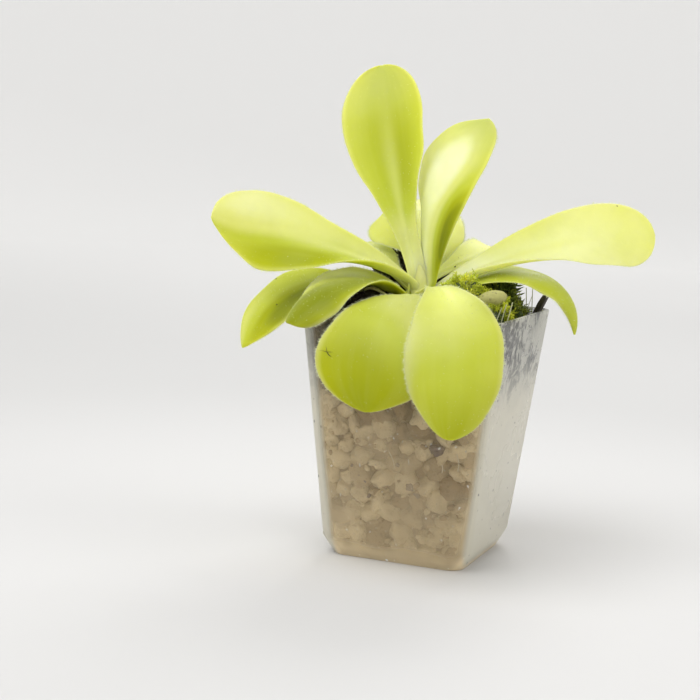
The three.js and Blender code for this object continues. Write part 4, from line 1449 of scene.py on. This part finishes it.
for node, count in CLUMPS.items():
    rough = Heap()
    for place, normal in spots_on(node, count, dice, -0.6):
        shape, faces = dice.choice(crumbs)
        under_leaf = np.hypot(*(place[:2] - WITHERED_LEAF_LIES)) < LEAF_KEEPS_CLEAR
        points = shape @ random_turn(dice) * dice.uniform(0.5, 1.3) * (0.5 if under_leaf else 1)
        rough.add(points + place - normal * 0.1, faces, dice.choice((0, 0, 0.2, 0.4)))
        size = headroom(place, dice.uniform(2.0, 5.5))
        if size > 1 and not under_leaf:
            turn = upright(normal, dice, 0.3)
            plant(rough, dice.choice(SHOOTS), place, size, turn, dice.uniform(0, 0.35))
    wear(bpy.data.objects[node], peat)
    finish_piece(rough.make(), node + "_litter", peat, "peat")


# %% [markdown]
# ## The pebble, the bark and the withered leaf
# Three things lie on the soil. The pebble is a ball pressed flat and made uneven. The bark is a
# split chip with a torn end, from a cube cut into small faces. The withered leaf is a narrow
# sheet, arched over the peat, with its edges curled up and a wrinkled surface.

# %% The pebble
clear_selection()
bpy.ops.mesh.primitive_ico_sphere_add(subdivisions=5, radius=MM)
pebble = bpy.context.object
points = points_of(pebble)
swell = 1 + 0.05 * smooth_noise(points, 0.9, 3) + 0.02 * smooth_noise(points, 0.3, 4)
points = points * swell[:, None] * (np.array(STONE["size"]) / 2)
tilt = np.array(Matrix.Rotation(math.radians(STONE["tilt"]), 3, "Y"))
turn = np.array(Matrix.Rotation(math.radians(STONE["turn"]), 3, "Z"))
put_points(pebble, points @ (turn @ tilt).T + STONE["place"])
bpy.ops.object.shade_smooth()

pebble_stone, wires, skin = new_material("pebble_stone")
place = wires.place()
fine = grain_in(wires, place, 700.0)
colour = wires.blend(fine["Grain"], (0.36, 0.35, 0.09, 1), (0.56, 0.54, 0.19, 1))
marks = wires.noise(place, 700.0, detail=3.0)
colour = wires.blend(wires.ramp(marks, 0.58, 0.68, 0.0, 0.6), colour, (0.12, 0.09, 0.03, 1))
wires.join(colour, skin.inputs["Base Color"])
skin.inputs["Roughness"].default_value = 0.6
wires.join(wires.bump(fine["Grain"], 0.15), skin.inputs["Normal"])
finish_piece(pebble, "pebble", pebble_stone, "pebble", "tan_stone")

# %% The chip of bark
BARK = {"foot": (23.6, 21.8, 64.7), "top": (26.4, 23.4, 71.2), "width": 3.6, "thickness": 1.6}

clear_selection()
bpy.ops.mesh.primitive_cube_add(size=2 * MM)
bark = bpy.context.object
apply_modifier(bark, "SUBSURF", subdivision_type="SIMPLE", levels=4, render_levels=4)
points = points_of(bark)
up = (points[:, 2] + 1) / 2
torn = 1 - 0.13 * np.abs(smooth_noise(points * (0, 1, 0) + 3, 0.3, 2)) * (up > 0.9)
taper = np.interp(up, [0, 0.33, 0.66, 1], [0.8, 1, 1, 0.8])
rough = 1 + 0.16 * smooth_noise(points * (1, 1, 0.25), 0.35, 6)
foot, top = np.array(BARK["foot"]), np.array(BARK["top"])
middle = foot + (top - foot) * (up * torn)[:, None]
middle[:, 0] += points[:, 0] * BARK["thickness"] / 2 * taper * rough
middle[:, 1] += points[:, 1] * BARK["width"] / 2 * taper * rough
put_points(bark, middle)
select_only(bark)
bpy.ops.object.shade_smooth_by_angle(angle=math.radians(50))

bark_stuff, wires, skin = new_material("dark_bark")
place = wires.place()
tall = wires.add("ShaderNodeMapping")
tall.inputs["Scale"].default_value = (1, 1, 0.3)
wires.join(place, tall.inputs["Vector"])
fibre = wires.noise(tall.outputs["Vector"], 1500.0, detail=3.0)
wires.join(wires.blend(fibre, (0.012, 0.010, 0.006, 1), (0.07, 0.055, 0.035, 1)), skin.inputs["Base Color"])
skin.inputs["Roughness"].default_value = 0.8
wires.join(wires.bump(fibre, 0.3), skin.inputs["Normal"])
finish_piece(bark, "bark", bark_stuff, "bark", "bark_chip")

# %% The withered leaf
DRY_LEAF = {"start": (-7.4, -10.2, 68.8), "end": (-16.5, -13.0, 70.6), "half_width": 1.7, "arch": 2.0}

clear_selection()
bpy.ops.mesh.primitive_grid_add(x_subdivisions=10, y_subdivisions=40, size=2 * MM)
withered = bpy.context.object
points = points_of(withered)
share = (points[:, 1] + 1) / 2
start, end = np.array(DRY_LEAF["start"]), np.array(DRY_LEAF["end"])
across = unit(np.cross((0, 0, 1), end - start))
width = DRY_LEAF["half_width"] * (0.3 + 0.7 * np.sin(np.pi * (0.15 + 0.8 * share)))
laid = start + (end - start) * share[:, None] + across * (points[:, 0] * width)[:, None]
laid[:, 2] += DRY_LEAF["arch"] * np.sin(np.pi * share) + 0.5 * points[:, 0] ** 2
laid[:, 2] += 0.25 * smooth_noise(laid, 1.3, 5)
put_points(withered, laid)
apply_modifier(withered, "SOLIDIFY", thickness=0.25 * MM, offset=0.0)
apply_modifier(withered, "SUBSURF", levels=1, render_levels=1)
select_only(withered)
bpy.ops.object.shade_smooth()

tissue, wires, skin = new_material("dry_tissue_painted_pale")
place = wires.place()
fine = grain_in(wires, place, 1200.0)
# Painted light: the tissue is much paler than the dry leaf's own olive, to make up for the shade it lies in
# under the leaves.
colour = wires.blend(fine["Grain"], (0.85, 0.82, 0.24, 1), (1.0, 0.97, 0.45, 1))
wires.join(colour, skin.inputs["Base Color"])
skin.inputs["Roughness"].default_value = 0.7
finish_piece(withered, "withered_leaf", tissue, "dry_leaf", "dry_leaf")


# %% [markdown]
# ## Stalks and roots
# A few thin stalks of dead moss and grass stand at the right of the pot, and pale roots run
# down inside its front wall. Each is a Bezier curve with a round bevel, turned into a mesh.

# %% Stalks and roots as curves
# Each has its foot, its middle, its top and its radius.
STALKS = [
    ((21.6, -12.0, 64.0), (22.7, -12.0, 67.2), (23.6, -12.0, 69.8), 0.14),
    ((23.4, -12.2, 64.0), (24.1, -12.1, 67.6), (24.8, -12.0, 70.8), 0.14),
    ((24.7, -11.8, 64.0), (25.6, -11.9, 67.8), (26.4, -12.0, 71.5), 0.13),
    ((21.8, -3.0, 65.0), (22.0, -2.6, 67.4), (22.4, -1.6, 69.4), 0.12),
    ((21.0, 1.0, 65.0), (21.6, 2.0, 67.6), (22.2, 4.4, 70.4), 0.12),
    ((22.4, 8.6, 65.0), (22.1, 9.4, 69.0), (22.3, 9.6, 72.8), 0.11),
    ((22.0, 17.4, 64.2), (22.3, 17.3, 68.4), (22.2, 16.6, 73.2), 0.12),
    ((22.4, 18.4, 64.2), (22.6, 18.8, 68.0), (23.4, 19.2, 71.0), 0.09),
    ((22.6, 23.0, 64.2), (22.2, 24.0, 68.6), (22.0, 24.4, 73.0), 0.12),
    ((20.0, 14.0, 64.6), (20.8, 14.2, 67.6), (22.6, 13.4, 69.8), 0.10),
]
ROOTS = [
    ((17.1, -22.5, 32.2), (17.7, -22.3, 29.8), (17.5, -22.0, 27.4), 0.16),
    ((13.2, -22.2, 28.8), (13.4, -22.1, 27.8), (13.2, -21.9, 26.6), 0.13),
    ((-1.6, -22.4, 30.8), (-0.4, -22.2, 28.6), (0.3, -22.0, 26.2), 0.12),
]


def curve_pieces(name, curves, material, slot):
    clear_selection()
    made = []
    for foot, middle, top, radius in curves:
        bpy.ops.curve.primitive_bezier_curve_add()
        curve = bpy.context.object
        spline = curve.data.splines[0]
        spline.bezier_points.add(1)
        for point, co in zip(spline.bezier_points, (foot, middle, top)):
            point.co = Vector(co) * MM
            point.handle_left_type = "AUTO"
            point.handle_right_type = "AUTO"
        curve.data.resolution_u = 6
        curve.data.bevel_depth = radius * MM
        curve.data.bevel_resolution = 1
        curve.data.use_fill_caps = True
        made.append(curve)
    clear_selection()
    for curve in made:
        curve.select_set(True)
    bpy.context.view_layer.objects.active = made[0]
    bpy.ops.object.convert(target="MESH")
    bpy.ops.object.join()
    piece = bpy.context.object
    bpy.ops.object.shade_smooth()
    finish_piece(piece, name, material, slot)


straw, wires, skin = new_material("straw")
ends = wires.noise(wires.place(), 500.0, detail=1.0)
wires.join(wires.blend(ends, (0.42, 0.45, 0.24, 1), (0.72, 0.72, 0.46, 1)), skin.inputs["Base Color"])
skin.inputs["Roughness"].default_value = 0.6
curve_pieces("dead_stalks", STALKS, straw, "moss")
root_skin, wires, skin = new_material("root_skin")
cloudy = wires.noise(wires.place(), 700.0, detail=2.0)
wires.join(wires.blend(cloudy, (0.85, 0.80, 0.60, 1), (0.98, 0.95, 0.82, 1)), skin.inputs["Base Color"])
skin.inputs["Roughness"].default_value = 0.4
curve_pieces("pale_roots", ROOTS, root_skin, "petiole")


# %% [markdown]
# ## Hairs
# The leaves' edges and upper sides carry fine hairs with sticky glands. They blur the outline
# and catch the light. Each is a thin cone of four triangles, a real mesh rather than a hair
# curve. They are real meshes, because hair curves would be lost when the model is exported.

# %% Hairs on the leaves
EDGE_HAIRS = 700
FACE_HAIRS = 150
HAIR_RADIUS = 0.045
EDGE_HAIR_LENGTH = (0.35, 0.95)
FACE_HAIR_LENGTH = (0.3, 0.6)
# An edge hair stands just inside the edge, and leans to the leaf's tip and up from the blade.
AT_EDGE = 0.985
TOWARDS_TIP, UPWARDS = 0.35, 0.5


def cones(starts, directions, lengths):
    """Points and faces of many thin cones."""
    helper = np.array((0.31, 0.52, 0.79))
    first = unit(np.cross(directions, helper))
    second = np.cross(directions, first)
    corners = [
        starts + (first * math.cos(a) + second * math.sin(a)) * HAIR_RADIUS
        for a in (0, 2 * math.pi / 3, 4 * math.pi / 3)
    ]
    tips = starts + directions * lengths[:, None]
    points = np.stack([*corners, tips], 1).reshape(-1, 3)
    faces = []
    for k in range(0, len(points), 4):
        faces += [(k, k + 1, k + 3), (k + 1, k + 2, k + 3), (k + 2, k, k + 3), (k + 2, k + 1, k)]
    return points, faces


rng = np.random.default_rng(8)
fuzz = Heap()
for seed, (name, leaf) in enumerate(LEAVES.items()):
    if name == "young_leaf":
        continue
    share = rng.uniform(0.12, 0.995, EDGE_HAIRS)
    across = rng.choice((-AT_EDGE, AT_EDGE), EDGE_HAIRS)
    points, normals = sheet(leaf, share, across)
    inner, _ = sheet(leaf, share, across * 0.9)
    tipward, _ = sheet(leaf, np.minimum(share + 0.01, 1), across)
    outward = unit(points - inner)
    points = points + normals * wavy_edge(share, across, seed)[:, None]
    lean = TOWARDS_TIP * unit(tipward - points)
    directions = unit(outward + lean + UPWARDS * normals + rng.normal(0, 0.3, points.shape))
    fuzz.add(*cones(points, directions, rng.uniform(*EDGE_HAIR_LENGTH, EDGE_HAIRS)))
    share = rng.uniform(0.15, 0.97, FACE_HAIRS)
    across = rng.uniform(-0.95, 0.95, FACE_HAIRS)
    points, normals = sheet(leaf, share, across)
    lift = wavy_edge(share, across, seed) + flesh(share, across) * FLESH_MM / 2 - 0.05
    directions = unit(normals + rng.normal(0, 0.35, points.shape))
    lengths = rng.uniform(*FACE_HAIR_LENGTH, FACE_HAIRS)
    fuzz.add(*cones(points + normals * lift[:, None], directions, lengths))

hair_stuff, wires, skin = new_material("gland_hairs")
skin.inputs["Base Color"].default_value = (0.84, 0.88, 0.52, 1)
skin.inputs["Roughness"].default_value = 0.3
finish_piece(fuzz.make(smooth=False), "leaf_hairs", hair_stuff, "leaf")


# %% [markdown]
# ## Specks caught by the leaves
# Sticky leaves catch small flies and dust. A few dark specks lie on the blades, and on the
# front leaf a gnat's leg: a thin forked line, from tubes along the blade.

# %% Specks: share along the leaf, place across and size
SPECKS = {
    "leaf_left_outer": [(0.689, 0.36, 0.3), (0.659, -0.84, 0.22)],
    "leaf_tall": [(0.985, 0.9, 0.3), (0.752, 0.95, 0.28)],
    "leaf_right": [(0.843, 0.93, 0.3)],
}
dice = random.Random(3)
specks = Heap()
for name, marks in SPECKS.items():
    leaf = LEAVES[name]
    for share, across, size in marks:
        at, normal = sheet(leaf, np.array([share]), np.array([across]))
        lift = flesh(share, across) * FLESH_MM / 2
        shape, faces = dice.choice(crumbs)
        points = shape @ random_turn(dice) * size * (1, 1, 0.8)
        specks.add(points + at + normal * lift, faces, 0.0)
print("specks:", len(specks.points))

# %% The gnat's leg: three lines, as shares along the leaf and places across
LEG_RADIUS = 0.14
LEG_LIFT = 0.1
FORK = [
    [(0.734, -0.963), (0.732, -0.88), (0.736, -0.80), (0.733, -0.69)],
    [(0.736, -0.80), (0.715, -0.83), (0.70, -0.88)],
    [(0.736, -0.80), (0.75, -0.76), (0.757, -0.70)],
]
leaf = LEAVES["leaf_front_left"]
for line in FORK:
    share, across = np.array(line).T
    at, normal = sheet(leaf, share, across)
    lift = (flesh(share, across) * FLESH_MM / 2 + LEG_LIFT)[:, None]
    specks.add(*tube(at + normal * lift, [LEG_RADIUS] * len(line)), 0.0)
finish_piece(specks.make(), "specks", peat, "peat")
